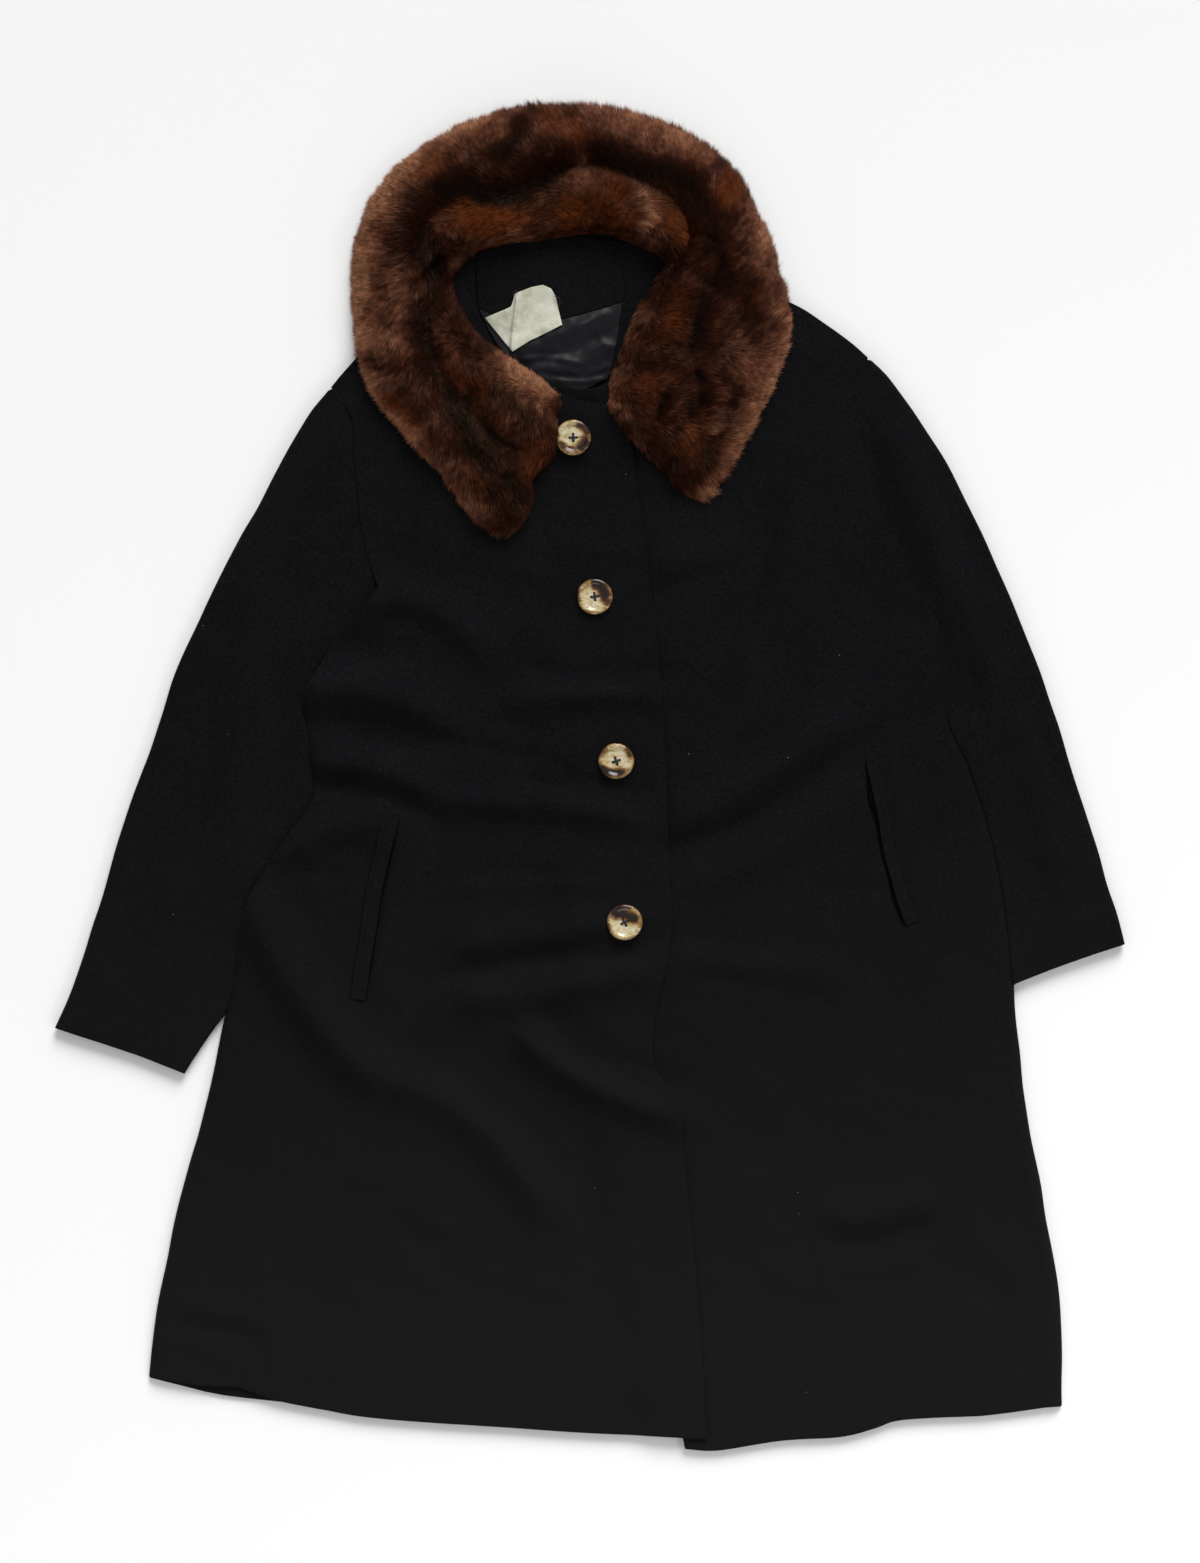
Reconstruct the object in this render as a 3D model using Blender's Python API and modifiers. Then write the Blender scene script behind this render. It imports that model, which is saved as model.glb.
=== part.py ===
"""A women's knee-length wool coat with a fur collar, laid out flat with its front up.

The frame is +Z up from the surface that the coat lies on, +Y towards the collar and +X towards
the wearer's left front. The origin is under the middle of the coat. "Right" and "left" are the
wearer's: the right front lies at -X, and buttons over the left front.

Every cloth piece is laid out the same way. Four edges, each a smooth curve through a short table
of points, bound the piece in plan, a grid of points is spread between them, and each point is
lifted to the height of its cloth. All sizes are in millimetres until a point is placed.
"""

import math

import bmesh
import bpy
import numpy as np
from mathutils import Vector
from mathutils.bvhtree import BVHTree

MM = 0.001

# Cloth and how it lies.
WOOL = 3.0  # coat cloth with its interlining and lining
SLEEVE_WOOL = 2.5
FACING = 2.0
SATIN = 1.2
AIR = 3.4  # between the back and the fronts, and between a sleeve's two sides
SEAM = 0.4  # between pieces that are sewn together or lie on each other
FLAT_AT_EDGE = 45.0  # the fronts settle onto the back within this of the hem and shoulders
DEEPEST_TROUGH = -2.6

# Side edges: the back turns over the edge and comes round to the side seam on top.
EDGE_ROLL = 10.0  # width over which the turned edge rounds down
EDGE_BLUNT = 1.4  # height of the turned edge's outermost point
TURN_OVERLAP = 4.0  # how far the turned strip is fused to the flat back
EDGE_STOPS = [0, 0.6, 2.2, 4.6, 7.4]  # columns round the turned edge, measured in from it
TURN_CLEAR = 0.15  # the turned strip's underside, above the floor at the edge
SEAM_TOP = 0.94  # share of the side at which the front's edge leaves the seam for the armhole
BACK_MARGIN = 0.6  # how far the flat back stops short of the turned edge

# Rows of faces along the pieces, and the gaps in plan that they need.
SEAM_ROWS = 26
ARMHOLE_ROWS = 10
FRONT_ROWS = SEAM_ROWS + ARMHOLE_ROWS
SLEEVE_ROWS = 22
SLEEVE_ROWS_BELOW = 16  # of those rows, the ones below the underarm
SLEEVE_COLUMNS = 8
SLEEVE_GAP = 1.4  # between a sleeve and the armhole
SIDE_GAP = 1.8  # between a sleeve and the side of the body
NECK_GAP = 1.0  # between the pieces sewn together inside the neck
OVERLAP_RISE = 30.0  # the right front climbs onto the left one over this width
OVERLAP_FADE = 24.0  # the left front's ridges die away over this width once they are hidden

# Buttons, all four alike.
BUTTON_RADIUS = 15.0
BUTTON_PROFILE = [  # (radius, height) from the middle of the well, over the rim and back under
    (0, 2.3), (8.7, 2.6), (11.0, 4.2), (13.4, 3.9), (BUTTON_RADIUS, 2.1), (12.8, 0.4), (10.0, 0), (0, 0),
]
BUTTON_HOLE_RADIUS = 1.1
BUTTON_HOLE_SPACING = 4.2
BUTTON_SEGMENTS = 16
BUTTONS = {  # x, y and the angle that its holes are turned by, in degrees
    "button_1": (-14, 283, 2), "button_2": (4, 150, 8), "button_3": (22, 12, 19), "button_4": (29, -123, 28),
}

WELT_WIDTH = 12.5
WELT_THICK = 2.0

COLLAR_THICK = 27.0  # pelt and hair, at the middle of the band
COLLAR_EDGE = 0.34  # share of that thickness at the collar's edges
COLLAR_GROOVE = 0.24  # depth of the roll line along the band, as a share of the thickness
COLLAR_GROOVE_WIDTH = 0.11  # half width of that line, as a share of the band
COLLAR_SETTLE = 11.0  # where the collar lies lower than this, it is this much fuller:
COLLAR_FILL = 0.45
COLLAR_ROWS = 34
COLLAR_END_ROW = 0.014  # share of the length taken by the row that rounds each end
COLLAR_COLUMNS = [0, 0.05, 0.14, 0.27, 0.4, 0.5, 0.6, 0.73, 0.86, 0.95, 1]

# ---- edges in plan, as (x, y) from the hem upwards, or from the wearer's right to the left
RIGHT_SIDE = [
    (-371, -506), (-363, -441), (-345, -357), (-322, -273), (-308, -205), (-298, -148), (-284, -92),
    (-256, -52), (-236, -16), (-238, 28), (-243, 63), (-222, 104), (-196, 132), (-178, 158),
]
RIGHT_ARMHOLE = [(-178, 158), (-190, 200), (-198, 262), (-200, 300), (-214, 323)]
LEFT_SIDE = [
    (399, -521), (393, -441), (381, -357), (366, -273), (358, -195), (352, -121), (340, -54),
    (321, 5), (303, 46), (292, 84), (297, 124),
]
LEFT_ARMHOLE = [(297, 124), (262, 178), (237, 240), (225, 300), (221, 328), (230, 345)]
RIGHT_SHOULDER = [(-214, 323), (-201, 336), (-160, 390), (-119, 432)]
LEFT_SHOULDER = [(230, 345), (214, 359), (176, 386), (126, 414), (74, 442)]
BACK_NECK = [(-119, 432), (-70, 454), (-10, 462), (40, 456), (74, 442)]
RIGHT_NECK = [(-119, 432), (-106, 402), (-88, 370), (-62, 346), (-34, 326), (-10, 314), (12, 311)]
LEFT_NECK = [
    (-48, 334), (-30, 330), (-12, 325), (8, 326), (22, 338), (30, 358), (46, 392), (62, 420), (74, 442),
]
RIGHT_FRONT_EDGE = [
    (98, -557), (93, -470), (86, -390), (78, -310), (74, -279), (55, -247), (53, -214), (61, -172),
    (68, -130), (66, -63), (64, 0), (60, 63), (54, 130), (47, 192), (40, 240), (32, 288), (12, 311),
]
LEFT_FRONT_EDGE = [
    (80, -566), (60, -450), (35, -300), (8, -130), (-12, 0), (-28, 130), (-38, 250), (-48, 334),
]
BACK_HEM = [
    (-371, -506), (-340, -514), (-297, -523), (-171, -535), (-39, -543), (110, -550), (260, -538),
    (399, -521),
]
RIGHT_HEM = [(-230, -532), (-171, -541), (-39, -550), (25, -554), (98, -557)]
LEFT_HEM = [(80, -566), (109, -566), (165, -558), (260, -543), (330, -535)]
# How far the side seam lies in from the turned edge, from the hem to the underarm.
RIGHT_TURN = [78, 62, 36, 13, 12, 12]
LEFT_TURN = [14, 13, 12, 12, 12, 12]

RIGHT_SLEEVE_OUTER = [
    (-217, 321), (-240, 297), (-277, 231), (-313, 164), (-344, 97), (-367, 30), (-391, -37),
    (-411, -105), (-433, -172), (-450, -212),
]
RIGHT_CUFF = [(-450, -212), (-396, -230), (-341, -251)]
RIGHT_SLEEVE_TAIL = [(-316, -207), (-330, -233), (-341, -251)]
RIGHT_SLEEVE_LEAVES = 0.545  # share of the body's right side where the sleeve parts from it
RIGHT_SLEEVE_TOP = 0.84  # share of the armhole up to which the sleeve lies flat against it
LEFT_SLEEVE_OUTER = [
    (233, 343), (252, 325), (297, 265), (332, 198), (361, 131), (387, 63), (408, -4), (429, -71),
    (450, -142),
]
LEFT_CUFF = [(450, -142), (405, -157), (362, -176)]
LEFT_SLEEVE_TAIL = [(362, -160), (362, -176)]
LEFT_SLEEVE_LEAVES = 0.53
LEFT_SLEEVE_TOP = 0.9

# ---- inside the neck: the facings, the lining and the label
BACK_FACING_BOTTOM = [(-94, 393), (-60, 378), (-21, 384), (28, 398)]
BACK_FACING_TOP = [(-96, 440), (-60, 449), (-20, 454), (14, 450)]
RIGHT_FACING_SEAM = [(-50, 336), (-78, 362), (-94, 393), (-96, 440)]
RIGHT_FACING_REACH = 0.32  # share of the right neck edge that the facing strip follows
RIGHT_FACING_START = 0.47  # share of its seam at which the strip starts, under the collar
LEFT_FACING_SEAM = [(28, 398), (30, 410), (26, 428), (14, 450)]
LEFT_FACING_OUTER = [(19, 336), (29, 358), (45, 392), (61, 420), (70, 440)]
LINING_LEFT = [(-50, 336), (-78, 362), (-94, 393)]
LINING_RIGHT = [(15, 333), (20, 350), (28, 398)]
LINING_BOTTOM = [(-50, 336), (-15, 322), (15, 332)]
LABEL_BOTTOM = [(-65, 356), (-44, 369), (-22, 383)]
LABEL_TOP = [(-87, 386), (-66, 396), (-54, 407), (-41, 411), (-29, 401)]
LABEL_THICK = 0.8

# ---- pocket mouths, from the top down; each welt lies between its mouth and the side seam
RIGHT_POCKET = [(-161, -36), (-176, -105), (-189, -189)]
LEFT_POCKET = [(232, 11), (239, -21), (248, -71), (265, -126)]

# ---- the collar: its neck edge, its outer edge and its two front ends
COLLAR_NECK = [
    (-21, 314), (-42, 335), (-67, 352), (-92, 370), (-109, 393), (-115, 416), (-107, 436), (-84, 446),
    (-46, 448), (-4, 452), (34, 447), (62, 432), (55, 414), (38, 391), (25, 362), (16, 336), (17, 309),
]
COLLAR_OUTER = [
    (-76, 202), (-101, 221), (-134, 263), (-168, 300), (-194, 341), (-202, 399), (-194, 462), (-160, 514),
    (-97, 553), (-25, 567), (50, 556), (112, 521), (147, 467), (167, 420), (174, 378), (151, 320),
    (103, 229),
]
COLLAR_RIGHT_END = [(-21, 314), (-33, 284), (-35, 252), (-50, 216), (-76, 202)]
COLLAR_LEFT_END = [(17, 309), (38, 283), (60, 258), (78, 234), (103, 229)]

# ---- folds: height (a trough is below zero), half width, then where each starts, passes and ends
FOLD_COLUMNS = ("rise", "half_width", "start", "middle", "end")
FRONT_FOLDS = [
    (6.0, 34, (-66, 338), (-12, 310), (34, 322)),
    (6.0, 13, (-76, 62), (-8, 68), (74, 70)),
    (-3.0, 9, (-52, 88), (8, 85), (80, 83)),
    (6.5, 13, (-134, -22), (-42, -24), (50, -40)),
    (-3.0, 11, (-62, 9), (0, -6), (72, -19)),
    (5.0, 14, (-120, -140), (-34, -130), (70, -112)),
    (-3.0, 9, (-128, -170), (-50, -155), (72, -139)),
    (7.0, 15, (-118, -190), (-25, -178), (66, -160)),
    (-3.0, 14, (-40, -193), (6, -232), (90, -268)),
    (9.5, 14, (-62, -205), (-8, -254), (86, -287)),
    (-3.0, 24, (-158, -232), (-76, -264), (0, -352)),
    (8.5, 18, (-190, -250), (-101, -287), (-25, -382)),
    (12.0, 19, (-290, -84), (-246, -178), (-178, -258)),
    (6.5, 15, (-206, 132), (-143, 145), (-80, 92)),
    (-3.0, 10, (-212, 112), (-176, 102), (-146, 106)),
    (8.5, 17, (-250, 66), (-185, 72), (-118, 44)),
    (-3.0, 10, (-220, 42), (-160, 31), (-100, 21)),
    (7.5, 14, (-246, 12), (-185, 6), (-128, -16)),
    (-3.0, 10, (-234, -12), (-170, -14), (-126, -50)),
    (7.0, 17, (-274, -72), (-222, -46), (-176, -40)),
    (-3.0, 15, (-172, 196), (-116, 168), (-30, 148)),
    (-3.0, 13, (58, -66), (143, -34), (288, 58)),
    (7.0, 18, (60, -40), (139, -4), (222, 60)),
    (4.5, 17, (66, -94), (160, -58), (232, 0)),
    (-3.0, 11, (152, 240), (143, 181), (104, 108)),
    (4.5, 14, (172, 222), (157, 150), (120, 78)),
    (3.0, 13, (50, 172), (92, 184), (128, 196)),
    (4.0, 14, (143, 97), (126, 47), (90, -8)),
    (3.5, 13, (70, -153), (143, -158), (214, -170)),
    (-3.0, 10, (202, -393), (240, -393), (288, -374)),
    (4.5, 15, (190, -366), (240, -367), (290, -348)),
    (-2.5, 14, (286, -399), (319, -420), (353, -441)),
]
RIGHT_SLEEVE_FOLDS = [
    (8.0, 20, (-226, 284), (-282, 112), (-300, -110)),
    (-3.0, 13, (-212, 292), (-257, 138), (-262, 0)),
    (3.5, 16, (-352, -20), (-352, -100), (-372, -190)),
]
LEFT_SLEEVE_FOLDS = [
    (7.0, 20, (244, 310), (290, 196), (340, 60)),
    (-3.0, 12, (236, 286), (252, 212), (288, 140)),
    (4.5, 18, (352, 60), (380, -20), (402, -110)),
]
LINING_FOLDS = [
    (2.6, 9, (-62, 352), (-25, 372), (22, 384)),
    (2.2, 8, (-50, 338), (-12, 346), (24, 366)),
]

COLOURS = {
    "wool": ((0.008, 0.008, 0.009), 0.9),
    "satin": ((0.014, 0.014, 0.02), 0.35),
    "fur": ((0.09, 0.035, 0.018), 0.7),
    "horn": ((0.48, 0.38, 0.22), 0.2),
    "label": ((0.55, 0.55, 0.42), 0.8),
}


# ---- curves and patches in plan


def through(points, by_length=True):
    """A smooth curve through the points, as a function of 0 to 1 along it."""
    p = np.array(points, float)
    ends = np.vstack([2 * p[0] - p[1], p, 2 * p[-1] - p[-2]])
    steps = np.linspace(0, 1, 12, endpoint=False)[:, None]
    fine = []
    for a, b, c, d in zip(ends, ends[1:], ends[2:], ends[3:]):
        squared = (2 * a - 5 * b + 4 * c - d) * steps**2
        cubed = (3 * b - a - 3 * c + d) * steps**3
        fine.append((2 * b + (c - a) * steps + squared + cubed) / 2)
    fine = np.vstack(fine + [p[-1:]])
    lengths = np.linalg.norm(np.diff(fine, axis=0), axis=1) if by_length else np.ones(len(fine) - 1)
    along = np.concatenate([[0], np.cumsum(lengths)])
    return lambda t: np.array([np.interp(t * along[-1], along, fine[:, k]) for k in (0, 1)])


def stretch(curve, start, end, sideways=0.0, samples=60):
    """Points along part of a curve, moved sideways to the left of its direction."""
    at = [curve(t) for t in np.linspace(start, end, samples)]
    way = np.gradient(np.array(at), axis=0)
    way /= np.linalg.norm(way, axis=1)[:, None]
    return [tuple(p + sideways * np.array((-d[1], d[0]))) for p, d in zip(at, way)]


def chain(*parts):
    """One curve along several lists of points, each starting where the one before it ends."""
    fine = np.array([p for part in parts for p in part], float)
    keep = np.concatenate([[True], np.linalg.norm(np.diff(fine, axis=0), axis=1) > 1e-6])
    fine = fine[keep]
    along = np.concatenate([[0], np.cumsum(np.linalg.norm(np.diff(fine, axis=0), axis=1))])
    return lambda t: np.array([np.interp(t * along[-1], along, fine[:, k]) for k in (0, 1)])


def joined(first, second, split, restart):
    """A curve that follows the first up to split of the way, and from restart of the way the second."""

    def at(t):
        if t <= split:
            return first(t / split)
        if t >= restart:
            return second((t - restart) / (1 - restart))
        step = (t - split) / (restart - split)
        return (1 - step) * first(1) + step * second(0)

    return at


def smooth(points):
    """The points of a smooth curve through a table's points."""
    return stretch(through(points), 0, 1)


def patch(bottom, top, left, right):
    """A place in plan for each (u, v) from 0 to 1, spread between four edges that meet near their ends."""
    low_ends, high_ends = (bottom(0), bottom(1)), (top(0), top(1))

    def place(u, v):
        level = (1 - v) * bottom(u) + v * top(u)
        upright = (1 - u) * left(v) + u * right(v)
        low = (1 - u) * low_ends[0] + u * low_ends[1]
        high = (1 - u) * high_ends[0] + u * high_ends[1]
        return level + upright - (1 - v) * low - v * high

    return place


# ---- heights


def ease(x):
    """A smooth step from 0 to 1."""
    x = min(1.0, max(0.0, x))
    return x * x * (3 - 2 * x)


def fold_height(folds, x, y):
    """The height that a table of folds adds at a point. Each is a soft ridge or trough along a bent line."""
    total = 0.0
    for row in folds:
        fold = dict(zip(FOLD_COLUMNS, row))
        a, m, b = (np.array(fold[k], float) for k in ("start", "middle", "end"))
        control = 2 * m - (a + b) / 2
        t = np.linspace(0, 1, 17)[:, None]
        line = (1 - t) ** 2 * a + 2 * t * (1 - t) * control + t**2 * b
        away = np.hypot(line[:, 0] - x, line[:, 1] - y)
        nearest = int(away.argmin())
        fade = ease(4 * t[nearest, 0] + 0.3) * ease(4 * (1 - t[nearest, 0]) + 0.3)
        total += fold["rise"] * fade * math.exp(-((away[nearest] / fold["half_width"]) ** 2))
    return total


hem_line = chain(smooth(BACK_HEM))
shoulder_line = chain(smooth(RIGHT_SHOULDER), smooth(BACK_NECK), smooth(LEFT_SHOULDER[::-1]))
HEM_POINTS = np.array([hem_line(t) for t in np.linspace(0, 1, 60)])
SHOULDER_POINTS = np.array([shoulder_line(t) for t in np.linspace(0, 1, 60)])
LEFT_EDGE_POINTS = np.array(smooth(LEFT_FRONT_EDGE))
RIGHT_EDGE_POINTS = np.array(smooth(RIGHT_FRONT_EDGE))


def front_lift(x, y):
    """How much the folds lift or lower the fronts at a point."""
    return max(DEEPEST_TROUGH, fold_height(FRONT_FOLDS, x, y))


def front_under(x, y, lifted):
    """The height of a front's underside. It lies on the back at the hem and at the shoulders."""
    from_hem = y - np.interp(x, HEM_POINTS[:, 0], HEM_POINTS[:, 1])
    from_shoulder = np.interp(x, SHOULDER_POINTS[:, 0], SHOULDER_POINTS[:, 1]) - y
    near_neck = ease(1.6 - abs(x + 22) / 90)
    settled = min(ease(from_hem / FLAT_AT_EDGE), max(near_neck, ease(from_shoulder / FLAT_AT_EDGE)))
    return WOOL + SEAM + settled * (AIR - SEAM + lifted)


def lining_under(x, y, u, v):
    """The lining lies on the back, with its own small folds."""
    return WOOL + SEAM + fold_height(LINING_FOLDS, x, y)


def left_under(x, y, u, v):
    """The left front's underside. Its hidden part, under the right front, follows only the troughs."""
    hidden = np.interp(y, RIGHT_EDGE_POINTS[:, 1], RIGHT_EDGE_POINTS[:, 0]) - x
    lifted = front_lift(x, y)
    if lifted > 0:
        lifted *= ease(1 - hidden / OVERLAP_FADE)
    return front_under(x, y, lifted)


def right_under(left_front):
    """The right front's underside, which lies on the left front where the two overlap."""

    def under(x, y, u, v):
        past_edge = x - np.interp(y, LEFT_EDGE_POINTS[:, 1], LEFT_EDGE_POINTS[:, 0])
        climb = (WOOL + SEAM) * ease(1.5 + past_edge / OVERLAP_RISE)
        low = front_under(x, y, front_lift(x, y)) + climb
        return max(low, highest_under([left_front], x, y, 12) + SEAM)

    return under


def highest_under(trees, x, y, reach):
    """The highest point of the pieces in trees within reach of a point, or the floor."""
    best = 0.0
    spots = [(0, 0)]
    for k in range(8):
        angle = math.pi * k / 4
        spots += [(r * math.cos(angle), r * math.sin(angle)) for r in (reach / 2, reach)]
    for dx, dy in spots:
        for tree in trees:
            hit = tree.ray_cast(Vector(((x + dx) * MM, (y + dy) * MM, 1)), Vector((0, 0, -1)))[0]
            if hit:
                best = max(best, hit.z / MM)
    return best


def tree_of(obj):
    """The finished surface of an object, for measuring what lies on it."""
    bpy.context.view_layer.update()
    return BVHTree.FromObject(obj, bpy.context.evaluated_depsgraph_get())


# ---- building


def material(name):
    """The Principled material of that name, made once."""
    if name in bpy.data.materials:
        return bpy.data.materials[name]
    made = bpy.data.materials.new(name)
    made.use_nodes = True
    shader = made.node_tree.nodes["Principled BSDF"]
    colour, roughness = COLOURS[name]
    shader.inputs["Base Color"].default_value = (*colour, 1)
    shader.inputs["Roughness"].default_value = roughness
    return made


def new_object(name, bm, finish, collection, closed=True):
    """An object of that name and finish from a bmesh, its faces turned to point out if it is closed."""
    if closed:
        bmesh.ops.recalc_face_normals(bm, faces=bm.faces)
    mesh = bpy.data.meshes.new(name)
    bm.to_mesh(mesh)
    bm.free()
    mesh.materials.append(material(finish))
    mesh.shade_smooth()
    mesh.set_sharp_from_angle(angle=math.radians(50))
    obj = bpy.data.objects.new(name, mesh)
    collection.objects.link(obj)
    return obj


def cloth(height):
    """The same height or thickness all over a patch."""
    return lambda x, y, u, v: height


def on_top_of(trees, reach):
    """The height that clears the pieces in trees within reach, with a seam's gap over them."""
    return lambda x, y, u, v: highest_under(trees, x, y, reach) + SEAM


def straight(start, end):
    """A straight edge between two points."""
    return chain([start, end])


def laid_cloth(name, place, grid, under, thick, finish, collection):
    """A piece of cloth over a patch: a grid at the height of its underside, extruded up by its thickness.

    under and thick are functions of x, y, u and v, and grid is (columns, rows), or the u and v of each.
    """
    us, vs = (np.linspace(0, 1, n + 1) if isinstance(n, int) else np.array(n) for n in grid)
    bm = bmesh.new()
    bmesh.ops.create_grid(bm, x_segments=len(us) - 1, y_segments=len(vs) - 1, size=0.5)
    walls = {}
    for vert in bm.verts:
        u = us[round((vert.co.x + 0.5) * (len(us) - 1))]
        v = vs[round((vert.co.y + 0.5) * (len(vs) - 1))]
        x, y = place(u, v)
        low = under(x, y, u, v)
        vert.co = Vector((x, y, low)) * MM
        walls[vert.co.to_tuple(7)] = thick(x, y, u, v) * MM
    raised = bmesh.ops.extrude_face_region(bm, geom=bm.faces[:])["geom"]
    for vert in raised:
        if isinstance(vert, bmesh.types.BMVert):
            vert.co.z += walls[vert.co.to_tuple(7)]
    return new_object(name, bm, finish, collection)


def fuse(obj, others):
    """Joins other closed objects into obj with a Boolean union, applied, and removes them."""
    for other in others:
        union = obj.modifiers.new("fuse", "BOOLEAN")
        union.operation = "UNION"
        union.object = other
    bpy.context.view_layer.update()
    joined = bpy.data.meshes.new_from_object(obj.evaluated_get(bpy.context.evaluated_depsgraph_get()))
    obj.modifiers.clear()
    obj.data = joined
    for other in others:
        bpy.data.objects.remove(other)


def turned_strip(name, side, turn, seam_curve, collection):
    """The part of the back that comes round the side edge, in columns from the edge to the side seam."""
    hem, end = 0.0015, SEAM_TOP * (SEAM_ROWS - 1) / SEAM_ROWS
    edge = chain(stretch(side, hem, end))
    seam = chain(stretch(seam_curve, hem, end))
    spread = patch(straight(edge(0), seam(0)), straight(edge(1), seam(1)), edge, seam)

    def width(v):
        return max(EDGE_ROLL, float(np.interp(v * end, np.linspace(0, 1, len(turn)), turn)))

    def from_edge(column, v):
        """How far in from the edge a column lies. The first ones round it, and the last is the seam."""
        inner = width(v)
        return (EDGE_STOPS + [(EDGE_ROLL + inner) / 2 - 1, inner])[int(column)]

    def place(column, v):
        return spread(from_edge(column, v) / width(v), v)

    def over(x, y, column, v):
        rounding = math.sqrt(1 - (1 - min(1.0, from_edge(column, v) / EDGE_ROLL)) ** 2)
        full = front_under(x, y, front_lift(x, y)) + WOOL
        return EDGE_BLUNT + (full - EDGE_BLUNT) * rounding

    def under(x, y, column, v):
        lifted = ease((from_edge(column, v) - TURN_OVERLAP) / (EDGE_ROLL - TURN_OVERLAP - 1))
        return TURN_CLEAR + lifted * max(0.0, over(x, y, column, v) - WOOL - TURN_CLEAR)

    def thick(x, y, column, v):
        return over(x, y, column, v) - under(x, y, column, v)

    columns = list(range(len(EDGE_STOPS) + 2))
    return laid_cloth(name, place, (columns, SEAM_ROWS - 1), under, thick, "wool", collection)


def seam_beside(side, turn, gap=0.0):
    """The side seam on top of the coat, in from the turned edge, and gap further in for the front's edge."""
    middle = np.sign(side(0)[0])
    samples = np.linspace(0, 1, 80)
    widths = np.interp(samples, np.linspace(0, 1, len(turn)), turn) + gap
    edge = np.array(stretch(side, 0, 1, 0, len(samples)))
    way = np.gradient(edge, axis=0)
    way /= np.linalg.norm(way, axis=1)[:, None]
    inward = np.stack([-way[:, 1], way[:, 0]], axis=1) * middle
    return [tuple(p) for p in edge + inward * widths[:, None]]


def outer_edge(seam, armhole):
    """A front's outer edge: up the side seam, across to the underarm and up the armhole."""
    seam_part = chain(stretch(chain(seam), 0, SEAM_TOP))
    return joined(seam_part, through(armhole), SEAM_ROWS / FRONT_ROWS, (SEAM_ROWS + 1) / FRONT_ROWS)


def sleeve_patch(cuff, outer, tail, side, armhole):
    """A sleeve in plan, from the cuff up, between its outer edge and the edge along the body."""
    underarm = SLEEVE_ROWS_BELOW / SLEEVE_ROWS
    inner = joined(chain(smooth(tail[::-1]), side), chain(armhole), underarm, underarm)
    return patch(chain(smooth(cuff)), chain([outer[0], inner(1)]), chain(smooth(outer[::-1])), inner)


def sleeve_ring():
    """The points once round a flattened sleeve, from its outer edge over the top.

    Each is (side, where, height, fold): where is a distance in from an edge, or a share of the width
    between the edges, and fold is the share of the folds' height that the point takes.
    """
    radius = SLEEVE_WOOL + AIR / 2
    arc = [math.pi * k / 4 for k in range(5)]
    takes = [0, 0, 0, 0.35, 0.35]
    across = np.linspace(0, 1, SLEEVE_COLUMNS + 1)[1:-1]
    rounds = [(radius * (1 - math.sin(a)), radius * (1 - math.cos(a))) for a in arc]
    outer = [("outer", where, height, fold) for (where, height), fold in zip(rounds, takes)]
    top = [("across", share, 2 * radius, 1.0) for share in across]
    inner = [("inner", where, height, f) for _, where, height, f in reversed(outer)]
    under = [("across", share, 0.0, 0.0) for share in across[::-2]]
    return outer + top + inner + under


def sleeve(name, place, folds, collection):
    """A sleeve as an open flattened tube, its underside on the floor, thickened inwards with Solidify."""
    radius = SLEEVE_WOOL + AIR / 2
    ring = sleeve_ring()
    bm = bmesh.new()
    loops = []
    for v in np.linspace(0, 1, SLEEVE_ROWS + 1):
        width = float(np.linalg.norm(place(1, v) - place(0, v)))
        inset = radius / width
        loop = []
        for side, where, height, fold in ring:
            shares = {"outer": where / width, "inner": 1 - where / width}
            x, y = place(shares.get(side, inset + (1 - 2 * inset) * where), v)
            lifted = max(DEEPEST_TROUGH, fold_height(folds, x, y))
            loop.append(bm.verts.new(Vector((x, y, height + fold * lifted)) * MM))
        loops.append(loop)
    for low, high in zip(loops, loops[1:]):
        for k in range(len(ring)):
            n = (k + 1) % len(ring)
            bm.faces.new((low[k], low[n], high[n], high[k]))
    if place(1, 0.5)[0] < place(0, 0.5)[0]:
        bmesh.ops.reverse_faces(bm, faces=bm.faces)
    tube = new_object(name, bm, "wool", collection, closed=False)
    wall = tube.modifiers.new("wall", "SOLIDIFY")
    wall.thickness = SLEEVE_WOOL * MM
    wall.offset = -1
    wall.use_even_offset = True
    return tube


def button(name, x, y, turned, under, collection, cutters):
    """A turned button with a raised rim, a sunk middle and four thread holes."""
    bm = bmesh.new()
    verts = [bm.verts.new(Vector((r, 0, z)) * MM) for r, z in BUTTON_PROFILE]
    for a, b in zip(verts, verts[1:]):
        bm.edges.new((a, b))
    obj = new_object(name, bm, "horn", collection)
    turn = obj.modifiers.new("turn", "SCREW")
    turn.steps = turn.render_steps = BUTTON_SEGMENTS
    turn.use_merge_vertices = True
    turn.merge_threshold = 0.00005
    for k in range(4):
        angle = math.radians(turned + 90 * k)
        bore = bmesh.new()
        hole = BUTTON_HOLE_RADIUS * MM
        bmesh.ops.create_cone(bore, cap_ends=True, segments=6, depth=20 * MM, radius1=hole, radius2=hole)
        cutter = new_object(f"{name}_hole_{k + 1}", bore, "horn", cutters)
        cutter.hide_render = True
        cutter.display_type = "WIRE"
        reach = BUTTON_HOLE_SPACING / math.sqrt(2)
        cutter.location = Vector((x + reach * math.cos(angle), y + reach * math.sin(angle), under)) * MM
        cut = obj.modifiers.new("thread_hole", "BOOLEAN")
        cut.operation = "DIFFERENCE"
        cut.object = cutter
    obj.location = Vector((x, y, under)) * MM
    return obj


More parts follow.
